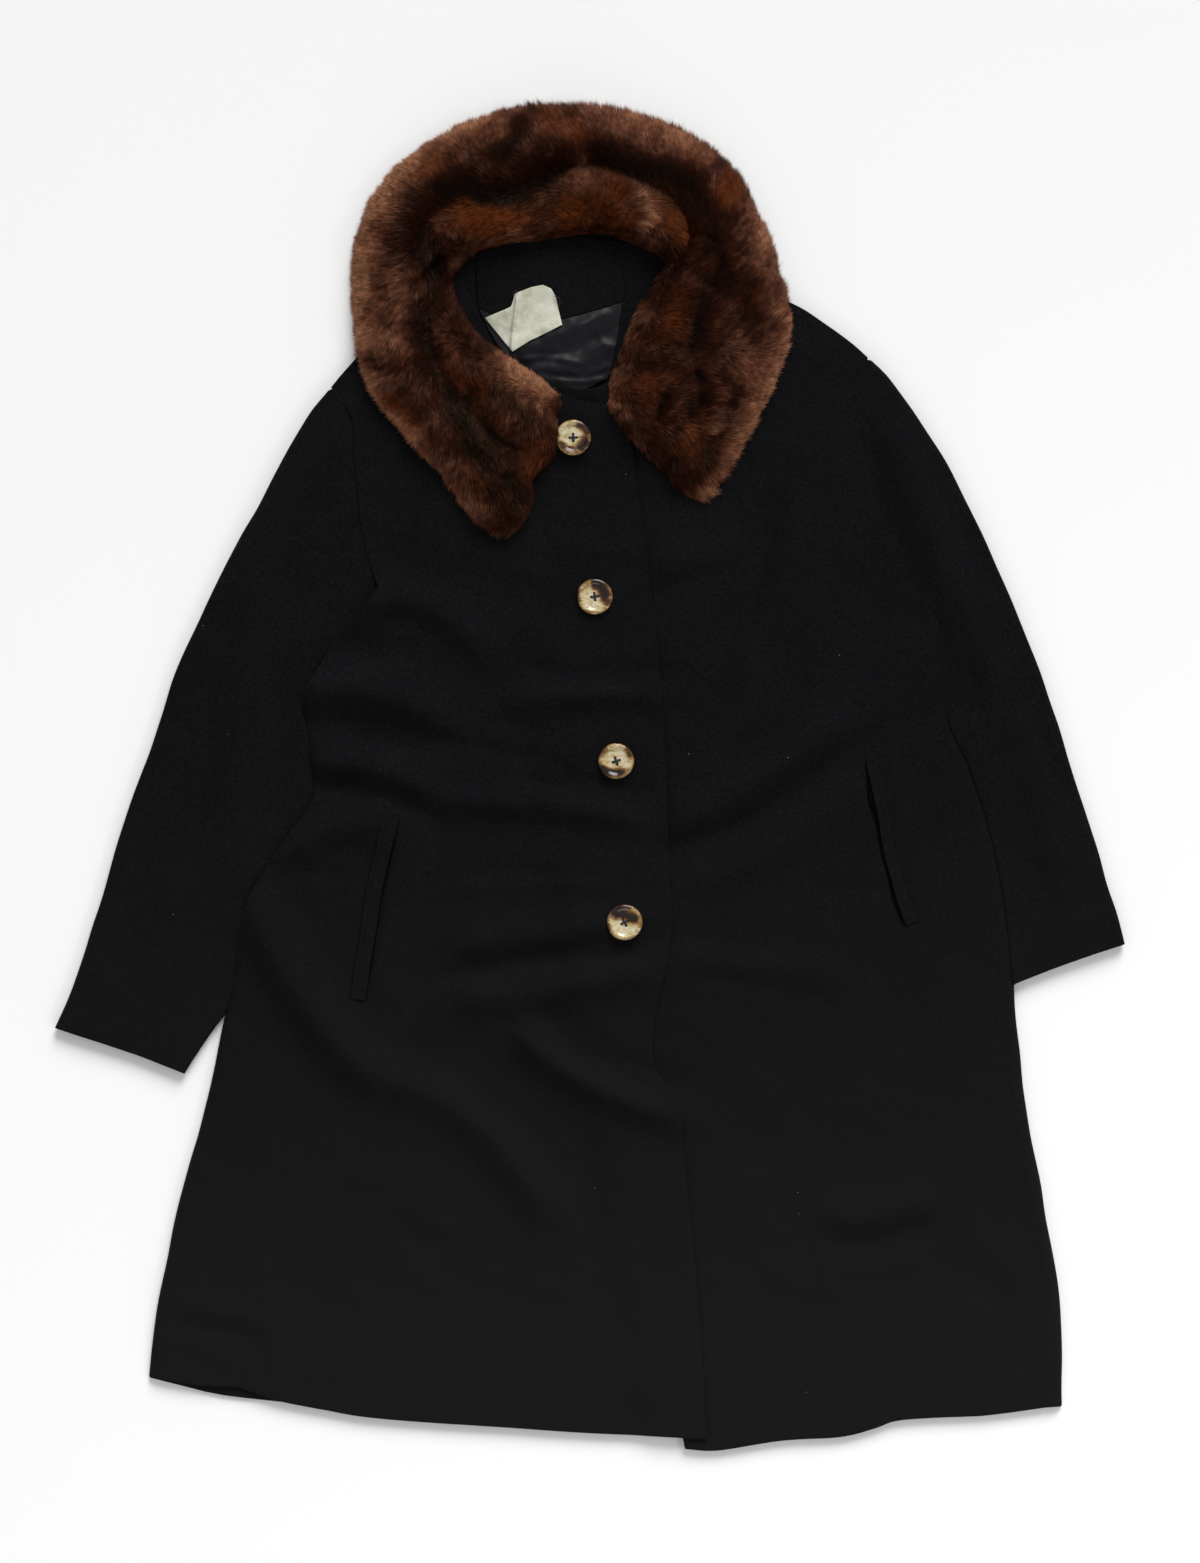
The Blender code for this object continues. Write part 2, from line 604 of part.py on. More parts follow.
def rounded(share, power):
    """How full the collar is: its whole thickness in the middle, and COLLAR_EDGE of it at both edges."""
    return COLLAR_EDGE + (1 - COLLAR_EDGE) * (1 - abs(2 * share - 1) ** power) ** 0.6


def collar(supports, collection):
    """The fur collar: a thick band round the neck, from its right end to its left, resting on the coat."""
    place = patch(
        chain(smooth(COLLAR_RIGHT_END)), chain(smooth(COLLAR_LEFT_END)),
        through(COLLAR_NECK, by_length=False), through(COLLAR_OUTER, by_length=False),
    )
    rows = [0] + list(np.linspace(COLLAR_END_ROW, 1 - COLLAR_END_ROW, COLLAR_ROWS + 1)) + [1]

    def under(x, y, u, v):
        below = highest_under(supports, x, y, 15)
        return below + 1.5 * SEAM if below > 0 else 0.0

    def thick(x, y, u, v):
        in_groove = math.exp(-(((u - 0.5) / COLLAR_GROOVE_WIDTH) ** 2)) * ease(5 * v) * ease(5 * (1 - v))
        lumps = 1 + 0.07 * math.sin(31 * v + 4 * u) + 0.05 * math.sin(57 * v - 9 * u + 1)
        fill = COLLAR_FILL * max(0.0, COLLAR_SETTLE - under(x, y, u, v)) * min(1.0, 4 * u * (1 - u) + 0.2)
        full = COLLAR_THICK * rounded(u, 3.2) * rounded(v, 16)
        return full * (1 - COLLAR_GROOVE * in_groove) * lumps + fill

    return laid_cloth("collar_fur", place, (COLLAR_COLUMNS, rows), under, thick, "fur", collection)


def main():
    for obj in list(bpy.data.objects):
        bpy.data.objects.remove(obj)
    coat = bpy.data.collections.new("fur_collar_coat")
    cutters = bpy.data.collections.new("cutters")
    for collection in (coat, cutters):
        bpy.context.scene.collection.children.link(collection)

    right_side, left_side = through(RIGHT_SIDE), through(LEFT_SIDE)
    right_seam = seam_beside(right_side, RIGHT_TURN)
    left_seam = seam_beside(left_side, LEFT_TURN)

    # Back: flat on the floor, with a turned strip fused along each side.
    back = laid_cloth(
        "back",
        patch(
            chain(smooth(BACK_HEM)), shoulder_line,
            chain(stretch(right_side, 0, 1, -BACK_MARGIN), smooth(RIGHT_ARMHOLE)),
            chain(stretch(left_side, 0, 1, BACK_MARGIN), smooth(LEFT_ARMHOLE)),
        ),
        (4, 36), cloth(0.0), cloth(WOOL), "wool", coat,
    )
    strips = [
        turned_strip("right_turn", right_side, RIGHT_TURN, chain(right_seam), coat),
        turned_strip("left_turn", left_side, LEFT_TURN, chain(left_seam), coat),
    ]
    fuse(back, strips)

    # Fronts: the right one lies over the left one.
    left_joined = seam_beside(left_side, LEFT_TURN, SEAM)
    left_front = laid_cloth(
        "front_left",
        patch(
            chain(smooth(LEFT_HEM), [LEFT_HEM[-1], left_joined[0]]),
            chain(smooth(LEFT_NECK), smooth(LEFT_SHOULDER[::-1])),
            chain(smooth(LEFT_FRONT_EDGE)),
            outer_edge(left_joined, LEFT_ARMHOLE),
        ),
        (12, FRONT_ROWS), left_under, cloth(WOOL), "wool", coat,
    )
    right_joined = seam_beside(right_side, RIGHT_TURN, SEAM)
    right_front = laid_cloth(
        "front_right",
        patch(
            chain([right_joined[0], RIGHT_HEM[0]], smooth(RIGHT_HEM)),
            chain(smooth(RIGHT_SHOULDER), smooth(RIGHT_NECK)),
            outer_edge(right_joined, RIGHT_ARMHOLE),
            chain(smooth(RIGHT_FRONT_EDGE)),
        ),
        (15, FRONT_ROWS), right_under(tree_of(left_front)), cloth(WOOL), "wool", coat,
    )

    # Sleeves: each a flattened tube from its cuff to its shoulder.
    right_plan = sleeve_patch(
        RIGHT_CUFF, RIGHT_SLEEVE_OUTER, RIGHT_SLEEVE_TAIL,
        stretch(right_side, RIGHT_SLEEVE_LEAVES, 1, SIDE_GAP),
        stretch(through(RIGHT_ARMHOLE), 0, RIGHT_SLEEVE_TOP, SLEEVE_GAP),
    )
    left_plan = sleeve_patch(
        LEFT_CUFF, LEFT_SLEEVE_OUTER, LEFT_SLEEVE_TAIL,
        stretch(left_side, LEFT_SLEEVE_LEAVES, 1, -SIDE_GAP),
        stretch(through(LEFT_ARMHOLE), 0, LEFT_SLEEVE_TOP, -SLEEVE_GAP),
    )
    sleeves = [
        sleeve("sleeve_right", right_plan, RIGHT_SLEEVE_FOLDS, coat),
        sleeve("sleeve_left", left_plan, LEFT_SLEEVE_FOLDS, coat),
    ]

    # Inside the neck, lying on the back.
    back_facing = laid_cloth(
        "back_neck_facing",
        patch(
            chain(smooth(BACK_FACING_BOTTOM)), chain(smooth(BACK_FACING_TOP)),
            straight(BACK_FACING_BOTTOM[0], BACK_FACING_TOP[0]), chain(smooth(LEFT_FACING_SEAM)),
        ),
        (8, 4), cloth(WOOL + SEAM), cloth(FACING), "wool", coat,
    )
    strip = stretch(through(RIGHT_NECK), RIGHT_FACING_REACH, 0, -1.5 * NECK_GAP)
    seam = stretch(through(RIGHT_FACING_SEAM), RIGHT_FACING_START, 1, NECK_GAP)
    right_facing = laid_cloth(
        "front_facing_right",
        patch(
            straight(strip[0], seam[0]), straight(strip[-1], seam[-1]),
            chain(strip), chain(seam),
        ),
        (2, 8), cloth(WOOL + SEAM), cloth(FACING), "wool", coat,
    )
    below_corner = stretch(through(LINING_RIGHT), 0, 1, -NECK_GAP)
    above_corner = stretch(through(LEFT_FACING_SEAM), 0, 1, -NECK_GAP)
    left_facing = laid_cloth(
        "front_facing_left",
        patch(
            straight(LINING_RIGHT[0], LEFT_FACING_OUTER[0]),
            straight(LEFT_FACING_SEAM[-1], LEFT_FACING_OUTER[-1]),
            chain(below_corner, above_corner), chain(smooth(LEFT_FACING_OUTER)),
        ),
        (3, 9), cloth(WOOL + SEAM), cloth(FACING), "wool", coat,
    )
    lining = laid_cloth(
        "lining",
        patch(
            chain(smooth(LINING_BOTTOM)), chain(stretch(through(BACK_FACING_BOTTOM), 0, 1, -NECK_GAP)),
            chain(smooth(LINING_LEFT)), chain(smooth(LINING_RIGHT)),
        ),
        (8, 7), lining_under, cloth(SATIN), "satin", coat,
    )
    label = laid_cloth(
        "label",
        patch(
            chain(LABEL_BOTTOM), chain(smooth(LABEL_TOP)),
            straight(LABEL_BOTTOM[0], LABEL_TOP[0]), straight(LABEL_BOTTOM[-1], LABEL_TOP[-1]),
        ),
        (6, 4), on_top_of([tree_of(back_facing), tree_of(lining)], 8), cloth(LABEL_THICK), "label", coat,
    )

    inside = [back_facing, right_facing, left_facing, lining, label]
    collar([tree_of(piece) for piece in (back, left_front, right_front, *inside, *sleeves)], coat)

    # On the fronts: the pocket welts and the buttons.
    fronts = [tree_of(left_front), tree_of(right_front)]
    welts = (("pocket_welt_right", RIGHT_POCKET, -WELT_WIDTH), ("pocket_welt_left", LEFT_POCKET, WELT_WIDTH))
    for name, mouth, sideways in welts:
        mouth_edge = stretch(through(mouth), 0, 1)
        seam_edge = stretch(through(mouth), 0, 1, sideways)
        laid_cloth(
            name,
            patch(
                straight(mouth_edge[0], seam_edge[0]), straight(mouth_edge[-1], seam_edge[-1]),
                chain(mouth_edge), chain(seam_edge),
            ),
            (2, 12), on_top_of(fronts, 9), cloth(WELT_THICK), "wool", coat,
        )
    for name, (x, y, turned) in BUTTONS.items():
        button(name, x, y, turned, highest_under(fronts, x, y, BUTTON_RADIUS) + SEAM, coat, cutters)


if __name__ == "__main__":
    main()
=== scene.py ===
"""The looks of a woman's knee-length black wool coat with a brown mink collar, laid out flat.

It is laid out as an add-on and run as a script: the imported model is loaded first, and each piece
that is sewn from cloth or fur replaces its plain solid with a finer one on the same tables of
sizes. The frame is the CAD's: +Z up from the surface the coat lies on, +Y towards the collar, +X
towards the wearer's left. Tables and sizes are in millimetres until a point is placed.
"""

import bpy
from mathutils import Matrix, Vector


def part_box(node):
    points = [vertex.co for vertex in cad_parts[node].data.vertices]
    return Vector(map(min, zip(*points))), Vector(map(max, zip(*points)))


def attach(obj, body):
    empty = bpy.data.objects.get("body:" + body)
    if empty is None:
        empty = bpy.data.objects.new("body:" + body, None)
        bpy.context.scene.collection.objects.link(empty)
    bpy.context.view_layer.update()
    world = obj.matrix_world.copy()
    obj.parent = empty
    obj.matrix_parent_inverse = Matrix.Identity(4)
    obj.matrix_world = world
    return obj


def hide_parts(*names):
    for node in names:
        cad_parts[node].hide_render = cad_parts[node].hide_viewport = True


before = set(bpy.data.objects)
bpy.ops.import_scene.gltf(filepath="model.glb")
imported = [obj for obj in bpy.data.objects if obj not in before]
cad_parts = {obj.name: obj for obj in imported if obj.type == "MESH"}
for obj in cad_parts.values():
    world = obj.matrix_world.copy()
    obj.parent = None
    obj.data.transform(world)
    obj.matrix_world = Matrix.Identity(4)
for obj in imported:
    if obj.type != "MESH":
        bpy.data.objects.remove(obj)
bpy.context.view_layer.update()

import math
from functools import cache, partial

import bpy
import numpy as np
from mathutils import Vector
from mathutils.bvhtree import BVHTree
from mathutils.kdtree import KDTree

bl_info = {
    "name": "Fur-collar coat",
    "version": (1, 0, 0),
    "blender": (4, 5, 0),
    "location": "3D View > Sidebar > Coat",
    "description": "Cloth, fur and buttons of a wool coat with a mink collar, round its packed model",
    "category": "Object",
}

MM = 0.001
BODY = "root"
PHOTO_SIZE = (1200, 1563)

# ---- cloth and how it lies, as in the part's source
WOOL = 3.0
SLEEVE_WOOL = 2.5
SLEEVE_RIM = 0.9
FACING = 2.0
SATIN = 1.2
AIR = 3.4
SEAM = 0.4
SEAM_OVERLAP = -0.5  # below zero: a front's edge reaches a little over its seam, so that no gap shows
FLAT_AT_EDGE = 45.0
DEEPEST_TROUGH = -2.6
FOLDS_RISE = 1.3  # how much higher the fronts' folds are than in the solids
CREASES_RISE = 1.7
NECK_MIDDLE, NECK_HALF = -22, 90  # the fronts stay raised round the neck opening
EDGE_ROLL = 10.0
EDGE_BLUNT = 1.4
TURN_OVERLAP = 4.0
TURN_CLEAR = 0.15
EDGE_STOPS = [0, 0.25, 0.7, 1.4, 2.4, 3.6, 5.2, 7.2, 9.4]
SEAM_ROWS = 26
FRONT_ROWS = 36
SEAM_TOP = 0.94
BACK_MARGIN = 0.6
HEM_SAG = 0.035  # how far a hem hangs below a straight line, beside its length
SLEEVE_ROWS = 22
SLEEVE_ROWS_BELOW = 16
SLEEVE_GAP = -3.6
SIDE_GAP = -3.6
NECK_GAP = 0.2
OVERLAP_RISE = 30.0
OVERLAP_FADE = 24.0
FINER = 6  # rows of faces here for each row of the solid
BACK_STEPS = (48, 120)  # columns and rows of faces
FRONT_COLUMNS = 84
TURN_COLUMNS = 8  # columns of the turned part, past its rounded edge
TURN_START = 0.0015  # the share of the side's length by which it starts above the hem
TURN_RIM = 0.2
WELT_RIM = 0.5
LABEL_RIM = 0.15

BUTTONS = {"button_1": (-14, 283), "button_2": (4, 150), "button_3": (22, 12), "button_4": (29, -123)}
BUTTON_TURN = {"button_1": 2, "button_2": 8, "button_3": 19, "button_4": 28}  # degrees
WELT_WIDTH = 12.5
WELT_THICK = 2.0

# ---- edges in plan, as (x, y) from the hem upwards, or from the wearer's right to the left
RIGHT_SIDE = [
    (-371, -506), (-363, -441), (-345, -357), (-322, -273), (-308, -205), (-298, -148), (-284, -92),
    (-256, -52), (-236, -16), (-238, 28), (-243, 63), (-222, 104), (-196, 132), (-178, 158),
]
RIGHT_ARMHOLE = [(-178, 158), (-190, 200), (-198, 262), (-200, 300), (-218, 326)]
LEFT_SIDE = [
    (397, -531), (395, -441), (381, -357), (366, -273), (358, -195), (352, -121), (340, -54),
    (321, 5), (303, 46), (292, 84), (297, 124),
]
LEFT_ARMHOLE = [(297, 124), (262, 178), (237, 240), (225, 300), (223, 331), (234, 350.5)]
RIGHT_SHOULDER = [(-218, 326), (-206, 340), (-160, 390), (-119, 432)]
LEFT_SHOULDER = [(234, 350.5), (218, 364.5), (180, 391.5), (128, 416), (74, 442)]
BACK_NECK = [(-119, 432), (-70, 454), (-10, 462), (40, 456), (74, 442)]
RIGHT_NECK = [(-119, 432), (-106, 402), (-88, 370), (-62, 346), (-34, 326), (-10, 314), (12, 311)]
LEFT_NECK = [
    (-48, 334), (-30, 330), (-12, 325), (8, 326), (22, 338), (30, 358), (46, 392), (62, 420), (74, 442),
]
RIGHT_FRONT_EDGE = [
    (98, -557), (93, -470), (86, -390), (78, -310), (74, -279), (55, -247), (53, -214), (61, -172),
    (68, -130), (66, -63), (64, 0), (60, 63), (54, 130), (47, 192), (40, 240), (32, 288), (12, 311),
]
LEFT_FRONT_EDGE = [
    (80, -566), (60, -450), (35, -300), (8, -130), (-12, 0), (-28, 130), (-38, 250), (-48, 334),
]
BACK_HEM = [
    (-371, -506), (-340, -514), (-297, -523), (-171, -535), (-39, -543), (110, -550), (260, -539),
    (397, -531),
]
RIGHT_HEM = [(-230, -532), (-171, -541), (-39, -550), (25, -554), (98, -557)]
LEFT_HEM = [(80, -566), (109, -567), (165, -559), (212, -556), (240, -549), (264, -542), (330, -538)]
RIGHT_TURN = [78, 62, 36, 13, 12, 12]
LEFT_TURN = [14, 13, 12, 12, 12, 12]
RIGHT_SLEEVE_OUTER = [
    (-221, 323), (-240, 298), (-277, 231), (-313, 164), (-344, 97), (-367, 30), (-391, -37),
    (-411, -105), (-433, -172), (-450, -212),
]
RIGHT_CUFF = [(-450, -212), (-396, -230), (-341, -251)]
RIGHT_SLEEVE_TAIL = [(-307, -201), (-317, -215), (-330, -234), (-341, -251)]
RIGHT_SLEEVE_LEAVES = 0.47
RIGHT_SLEEVE_TOP = 0.985
LEFT_SLEEVE_OUTER = [
    (237, 348), (256.5, 328), (298, 266), (332, 198), (361, 131), (387, 63), (408, -4), (429, -71),
    (450, -142),
]
LEFT_CUFF = [(450, -142), (405, -157), (354, -176)]
LEFT_SLEEVE_TAIL = [(351.5, -158), (354, -176)]
LEFT_SLEEVE_LEAVES = 0.57
LEFT_SLEEVE_TOP = 0.985
BACK_FACING_BOTTOM = [(-94, 393), (-60, 378), (-21, 384), (28, 398)]
BACK_FACING_TOP = [(-96, 440), (-60, 449), (-20, 454), (14, 450)]
RIGHT_FACING_SEAM = [(-50, 336), (-78, 362), (-94, 393), (-96, 440)]
RIGHT_FACING_REACH = 0.32
RIGHT_FACING_START = 0.47
LEFT_FACING_SEAM = [(28, 398), (30, 410), (26, 428), (14, 450)]
LEFT_FACING_OUTER = [(19, 336), (29, 358), (45, 392), (61, 420), (70, 440)]
LINING_LEFT = [(-50, 336), (-78, 362), (-94, 393)]
LINING_RIGHT = [(15, 333), (20, 350), (28, 398)]
LINING_BOTTOM = [(-50, 336), (-15, 322), (15, 332)]
LABEL_BOTTOM = [(-65, 356), (-50, 366), (-23, 379)]
LABEL_TOP = [(-88, 384), (-67, 394), (-64, 405), (-50, 410), (-40, 412), (-33, 409), (-29, 402)]
LABEL_THICK = 0.5
LOOSE_THREAD = 0.6
LOOSE_THREADS = [
    [(-64, 401, 9.6), (-66, 405, 10.4), (-63, 409, 9.8), (-60, 406, 9.4)],
    [(-30, 402, 9.2), (-26, 404, 9.8), (-24, 399, 9.4), (-26, 394, 9.0)],
]
LABEL_DOWN = 0.35  # where along its upper edge the label stays down
LABEL_LIFT = 1.6  # how far its top edge curls up
RIGHT_POCKET = [(-161, -36), (-176, -105), (-189, -189)]
LEFT_POCKET = [(232, 11), (239, -21), (248, -71), (265, -126)]
COLLAR_NECK = [
    (-21, 314), (-42, 335), (-67, 352), (-92, 370), (-109, 393), (-115, 416), (-107, 436), (-84, 446),
    (-46, 448), (-4, 452), (34, 447), (62, 432), (55, 414), (38, 391), (25, 362), (16, 336), (17, 309),
]
COLLAR_OUTER = [
    (-82, 203), (-104, 221), (-134, 263), (-168, 300), (-194, 341), (-203, 400), (-198, 465), (-166, 520),
    (-102, 561), (-29, 575), (51, 563), (115, 527), (150, 470), (167, 420), (174, 378), (148, 310),
    (97, 228),
]
COLLAR_RIGHT_END = [(-21, 314), (-25, 291), (-29, 268), (-46, 249), (-49, 226), (-61, 206), (-82, 203)]
COLLAR_LEFT_END = [(17, 309), (29, 284), (48, 260), (65, 238), (82, 224), (97, 228)]
COLLAR_THICK = 27.0
COLLAR_GROOVE = 0.36
COLLAR_GROOVE_WIDTH = 0.1
LAPEL_GROOVE = 0.4
# Where the stand behind the neck meets the fall, and the valley along the right end: v, then u.
STAND_LINE = (
    [0.30, 0.34, 0.38, 0.42, 0.46, 0.49, 0.55, 0.59, 0.625, 0.66, 0.69, 0.715, 0.74],
    [0.04, 0.16, 0.36, 0.5, 0.45, 0.38, 0.5, 0.58, 0.53, 0.5, 0.38, 0.2, 0.05],
)
LAPEL_LINE = ([0.03, 0.1, 0.2, 0.28, 0.33], [0.42, 0.5, 0.42, 0.28, 0.15])
COLLAR_SETTLE = 11.0
COLLAR_FILL = 0.45

# ---- the fur
FUR_RISE = 6.0  # how far the hair stands over the base
# The skin stops short of the fur's outline, which the hair reaches: where it starts and how far it goes.
SKIN_ACROSS = (0.035, 0.90)
SKIN_ALONG = (0.010, 0.980)
HAIRS_A_LOCK = 80
GUARD_SHARE = 0.25  # the share of the hairs that are guard hairs, bent over
FINE_LENGTH = 0.85  # how long the fine straight hairs are beside the guard hairs
HAIR_ANGLES = (31, 7)  # how steeply a hair leaves the skin, and how its tip lies over it, in degrees
FUR_TONES = ("#140B0A", "#2F150E", "#8C5B45", "#AC805F")  # dark, middle, light and palest
FUR_RUST = "#6A3313"
UNDERFUR_SHADE = 0.35  # how light the skin under the hair is beside it
HAIR_TURN = -20  # degrees from straight out that the hair turns on the fall
STAND_TURN = 95  # on the stand behind the neck
NECK_TURN = 150  # along the neck's edge
TURN_SPREAD = 9  # degrees by which neighbouring hairs differ in heading
ANGLE_SPREADS = (7, 6)  # and in the two angles above
ROLL_SPREAD = 28  # and in how their blades are turned
LENGTH_SPREAD = (0.72, 1.15)
WIDTH_SPREAD = (0.7, 1.25)
LOCK_DRAW = (0.1, 0.45)  # how far a hair's tip is drawn towards its lock's leader
HAIR_TONES = (0.5, 1, 1.45)  # how light a hair is at its root, halfway and at its tip
HAIR_SPREAD = 0.22  # how much the hairs differ in lightness
WISPS = (0.02, 1.3)  # the share of the hairs that stand out, and by how much they are longer

# ---- the view, from the photograph, and the light
MM_PER_PIXEL = 0.84
VIEW_CENTRE = (8.4, -5.04)
CAMERA_HEIGHT = 4.0  # metres, as is the cloth's
CLOTH_HEIGHT = 0.008
WORLD_LIGHT = 0.44
WINDOW_LIGHT = 2.75
WINDOW_WIDTH = 34  # degrees that the window spans, seen from the coat
WINDOW_FROM = (0.20, 0.80, 0.56)
FLOOR_HEIGHT = -0.0008  # metres: a little under the coat, so that the two don't meet
SOFTBOXES = [  # name, size, power and place in metres; each is aimed at the coat
    ("side_softbox", (0.34, 0.2), 3, (1.25, -0.7, 1.35)),
    ("foot_softbox", (2.4, 0.8), 10, (0.2, -2.4, 1.1)),
]

# ---- faint unevenness: how much, a seed, and the shortest and longest of its waves
EDGE_WAVES = ((0.6, 41, 30, 110), (0.6, 42, 30, 110))  # along X and along Y
FRONT_WAVES = (0.5, 3, 28, 90)
SLEEVE_WAVES = {"wool_sleeve_right": (0.35, 21, 30, 90), "wool_sleeve_left": (0.35, 22, 30, 90)}
LINING_WAVES = (0.5, 31, 8, 22)
PELT_WAVES = (0.11, 11, 22, 60)
RUST_WAVES = (0.25, 77, 25, 60)
# The hair's own: how much, the shortest and longest wave, and how many cross.
HAIR_WAVES = {
    "lie": (math.radians(55), 60, 150, 6), "locks": (math.radians(16), 9, 24, 9), "lift": (6, 12, 30, 7),
    "length": (0.16, 18, 50, 8), "tone": (0.3, 14, 40, 9), "fine tone": (0.25, 4, 11, 9),
}

# ---- buttons
BUTTON_RADIUS = 15.0
BUTTON_HOLE = 1.15
BUTTON_HOLE_REACH = 2.97
STITCH_HEIGHTS = (0.4, 2.9)  # where a stitch ends in its hole, and where it lies on the button
STITCH_BESIDE = 0.35  # how far a thread lies from the middle of its pair
STITCH_OVER = 0.45  # how far one pair rises over the other
SMOKY_RIM = 0.22
BUTTON_RINGS = [  # radius and height, from the middle of the underside round the rim to the sunk middle
    (10.4, 0.0), (12.4, 0.25), (13.9, 0.9), (14.7, 1.7), (15.0, 2.5), (14.8, 3.2), (14.2, 3.8), (13.3, 4.15),
    (12.4, 4.2), (11.6, 3.95), (10.9, 3.4), (10.2, 2.9), (9.2, 2.6), (7.0, 2.45), (4.0, 2.35), (1.2, 2.3),
]

# ---- pocket mouths, gaping past their welts: by how much, where along them and how long
GAPES = {
    "right": [(1.4, 0.3, 0.2), (0.9, 0.75, 0.15)],
    "left": [(3.4, 0.22, 0.12), (2.0, 0.82, 0.13), (0.8, 0.5, 0.15)],
}
WELT_SEGMENTS = 80
MOUTH_OPEN = 0.6  # how far a mouth stands open all along
MOUTH_TUCK = 0.16  # the share of the welt's width that the mouth's other side reaches under it
MOUTH_BELOW = 0.2  # how far the lining in the mouth lies below the welt
MOUTH_THICK = 0.5
WELT_STITCHING = (0.78, 0.06, 0.9)  # where across the welt it lies, how wide, and how deep it presses in

# ---- folds: height (a trough is below zero), half width, then the x and y of its start, middle and end
FRONT_FOLDS = [
    (6, 34, -66, 338, -12, 310, 34, 322), (6, 13, -76, 62, -8, 68, 74, 70), (-3, 9, -52, 88, 8, 85, 80, 83),
    (6.5, 13, -134, -22, -42, -24, 50, -40), (-3, 11, -62, 9, 0, -6, 72, -19),
    (5, 14, -120, -140, -34, -130, 70, -112), (-3, 9, -128, -170, -50, -155, 72, -139),
    (7, 15, -118, -190, -25, -178, 66, -160), (-3, 14, -40, -193, 6, -232, 90, -268),
    (9.5, 14, -62, -205, -8, -254, 86, -287), (-3, 24, -158, -232, -76, -264, 0, -352),
    (8.5, 18, -190, -250, -101, -287, -25, -382), (12, 19, -290, -84, -246, -178, -178, -258),
    (6.5, 15, -206, 132, -143, 145, -80, 92), (-3, 10, -212, 112, -176, 102, -146, 106),
    (8.5, 17, -250, 66, -185, 72, -118, 44), (-3, 10, -220, 42, -160, 31, -100, 21),
    (7.5, 14, -246, 12, -185, 6, -128, -16), (-3, 10, -234, -12, -170, -14, -126, -50),
    (7, 17, -274, -72, -222, -46, -176, -40), (-3, 15, -172, 196, -116, 168, -30, 148),
    (-3, 13, 58, -66, 143, -34, 288, 58), (7, 18, 60, -40, 139, -4, 222, 60),
    (4.5, 17, 66, -94, 160, -58, 232, 0), (-3, 11, 152, 240, 143, 181, 104, 108),
    (4.5, 14, 172, 222, 157, 150, 120, 78), (3, 13, 50, 172, 92, 184, 128, 196),
    (4, 14, 143, 97, 126, 47, 90, -8), (3.5, 13, 70, -153, 143, -158, 214, -170),
    (-3, 10, 202, -393, 240, -393, 288, -374), (4.5, 15, 190, -366, 240, -367, 290, -348),
    (-2.5, 14, 286, -399, 319, -420, 353, -441),
]
# ---- lesser creases, too fine for the solids
FRONT_CREASES = [
    (-1.3, 5, -150, 180, -110, 162, -60, 152), (1, 7, -30, 196, 10, 190, 44, 186),
    (-1.2, 5, -34, 176, 8, 172, 50, 178), (-1.6, 5, -48, 90, 10, 84, 56, 84),
    (-1.4, 6, -100, 22, -40, 12, 20, -6), (-1.6, 5, -60, -2, 0, -14, 58, -20),
    (-2, 5, -124, -168, -56, -156, 54, -141), (1, 6, -120, -100, -50, -92, 30, -96),
    (-1, 5, -118, -86, -60, -80, -8, -84), (-1.1, 5, -80, -204, -30, -224, 24, -262),
    (-1, 7, -206, -346, -190, -352, -174, -353), (-1.2, 9, -164, -376, -146, -390, -122, -400),
    (1, 9, -170, -356, -140, -368, -104, -392), (-1, 8, -78, -434, -50, -440, -24, -446),
    (0.8, 6, -44, -358, -46, -410, -42, -452), (-1, 6, -204, 112, -180, 104, -150, 102),
    (-1.2, 5, -216, 46, -190, 40, -160, 26), (-1.1, 5, -172, 44, -140, 36, -104, 20),
    (-1.2, 5, -236, -2, -200, -10, -162, -12), (-1, 5, -168, -12, -146, -26, -128, -48),
    (-1, 6, -244, -80, -224, -84, -206, -82), (-1, 6, -262, -108, -240, -116, -222, -128),
    (1.2, 6, -252, -40, -236, -64, -230, -96), (-1.4, 8, -354, -462, -322, -466, -290, -468),
    (-1.3, 8, -350, -480, -330, -496, -316, -512), (-1, 6, -286, -466, -280, -488, -274, -512),
    (1.2, 9, -340, -440, -300, -452, -262, -462), (-1.4, 5, 64, -62, 120, -44, 176, -16),
    (-1.2, 5, 180, -12, 220, 26, 280, 54), (-0.9, 4, 52, 154, 88, 166, 126, 176),
    (-0.8, 4, 180, -98, 214, -94, 252, -95), (-0.9, 4, 84, -138, 118, -140, 152, -142),
    (-0.9, 4, 82, -168, 150, -178, 220, -198), (0.8, 7, 176, -38, 168, -60, 158, -88),
    (-1.2, 5, 200, -392, 240, -396, 282, -380), (0.9, 8, 204, -408, 246, -412, 290, -398),
    (-1.1, 7, 334, -382, 352, -372, 370, -356), (-1, 8, 310, -524, 344, -506, 378, -482),
    (0.8, 8, 200, -388, 198, -410, 202, -436), (-0.9, 6, 140, -430, 180, -444, 220, -452),
    (0.8, 7, 120, -330, 150, -342, 186, -346), (-0.8, 8, 230, -250, 262, -262, 300, -262),
    (-1.8, 3, -161, -30, -176, -108, -190, -194), (-1.8, 3, 231, 16, 246, -62, 266, -131),
]
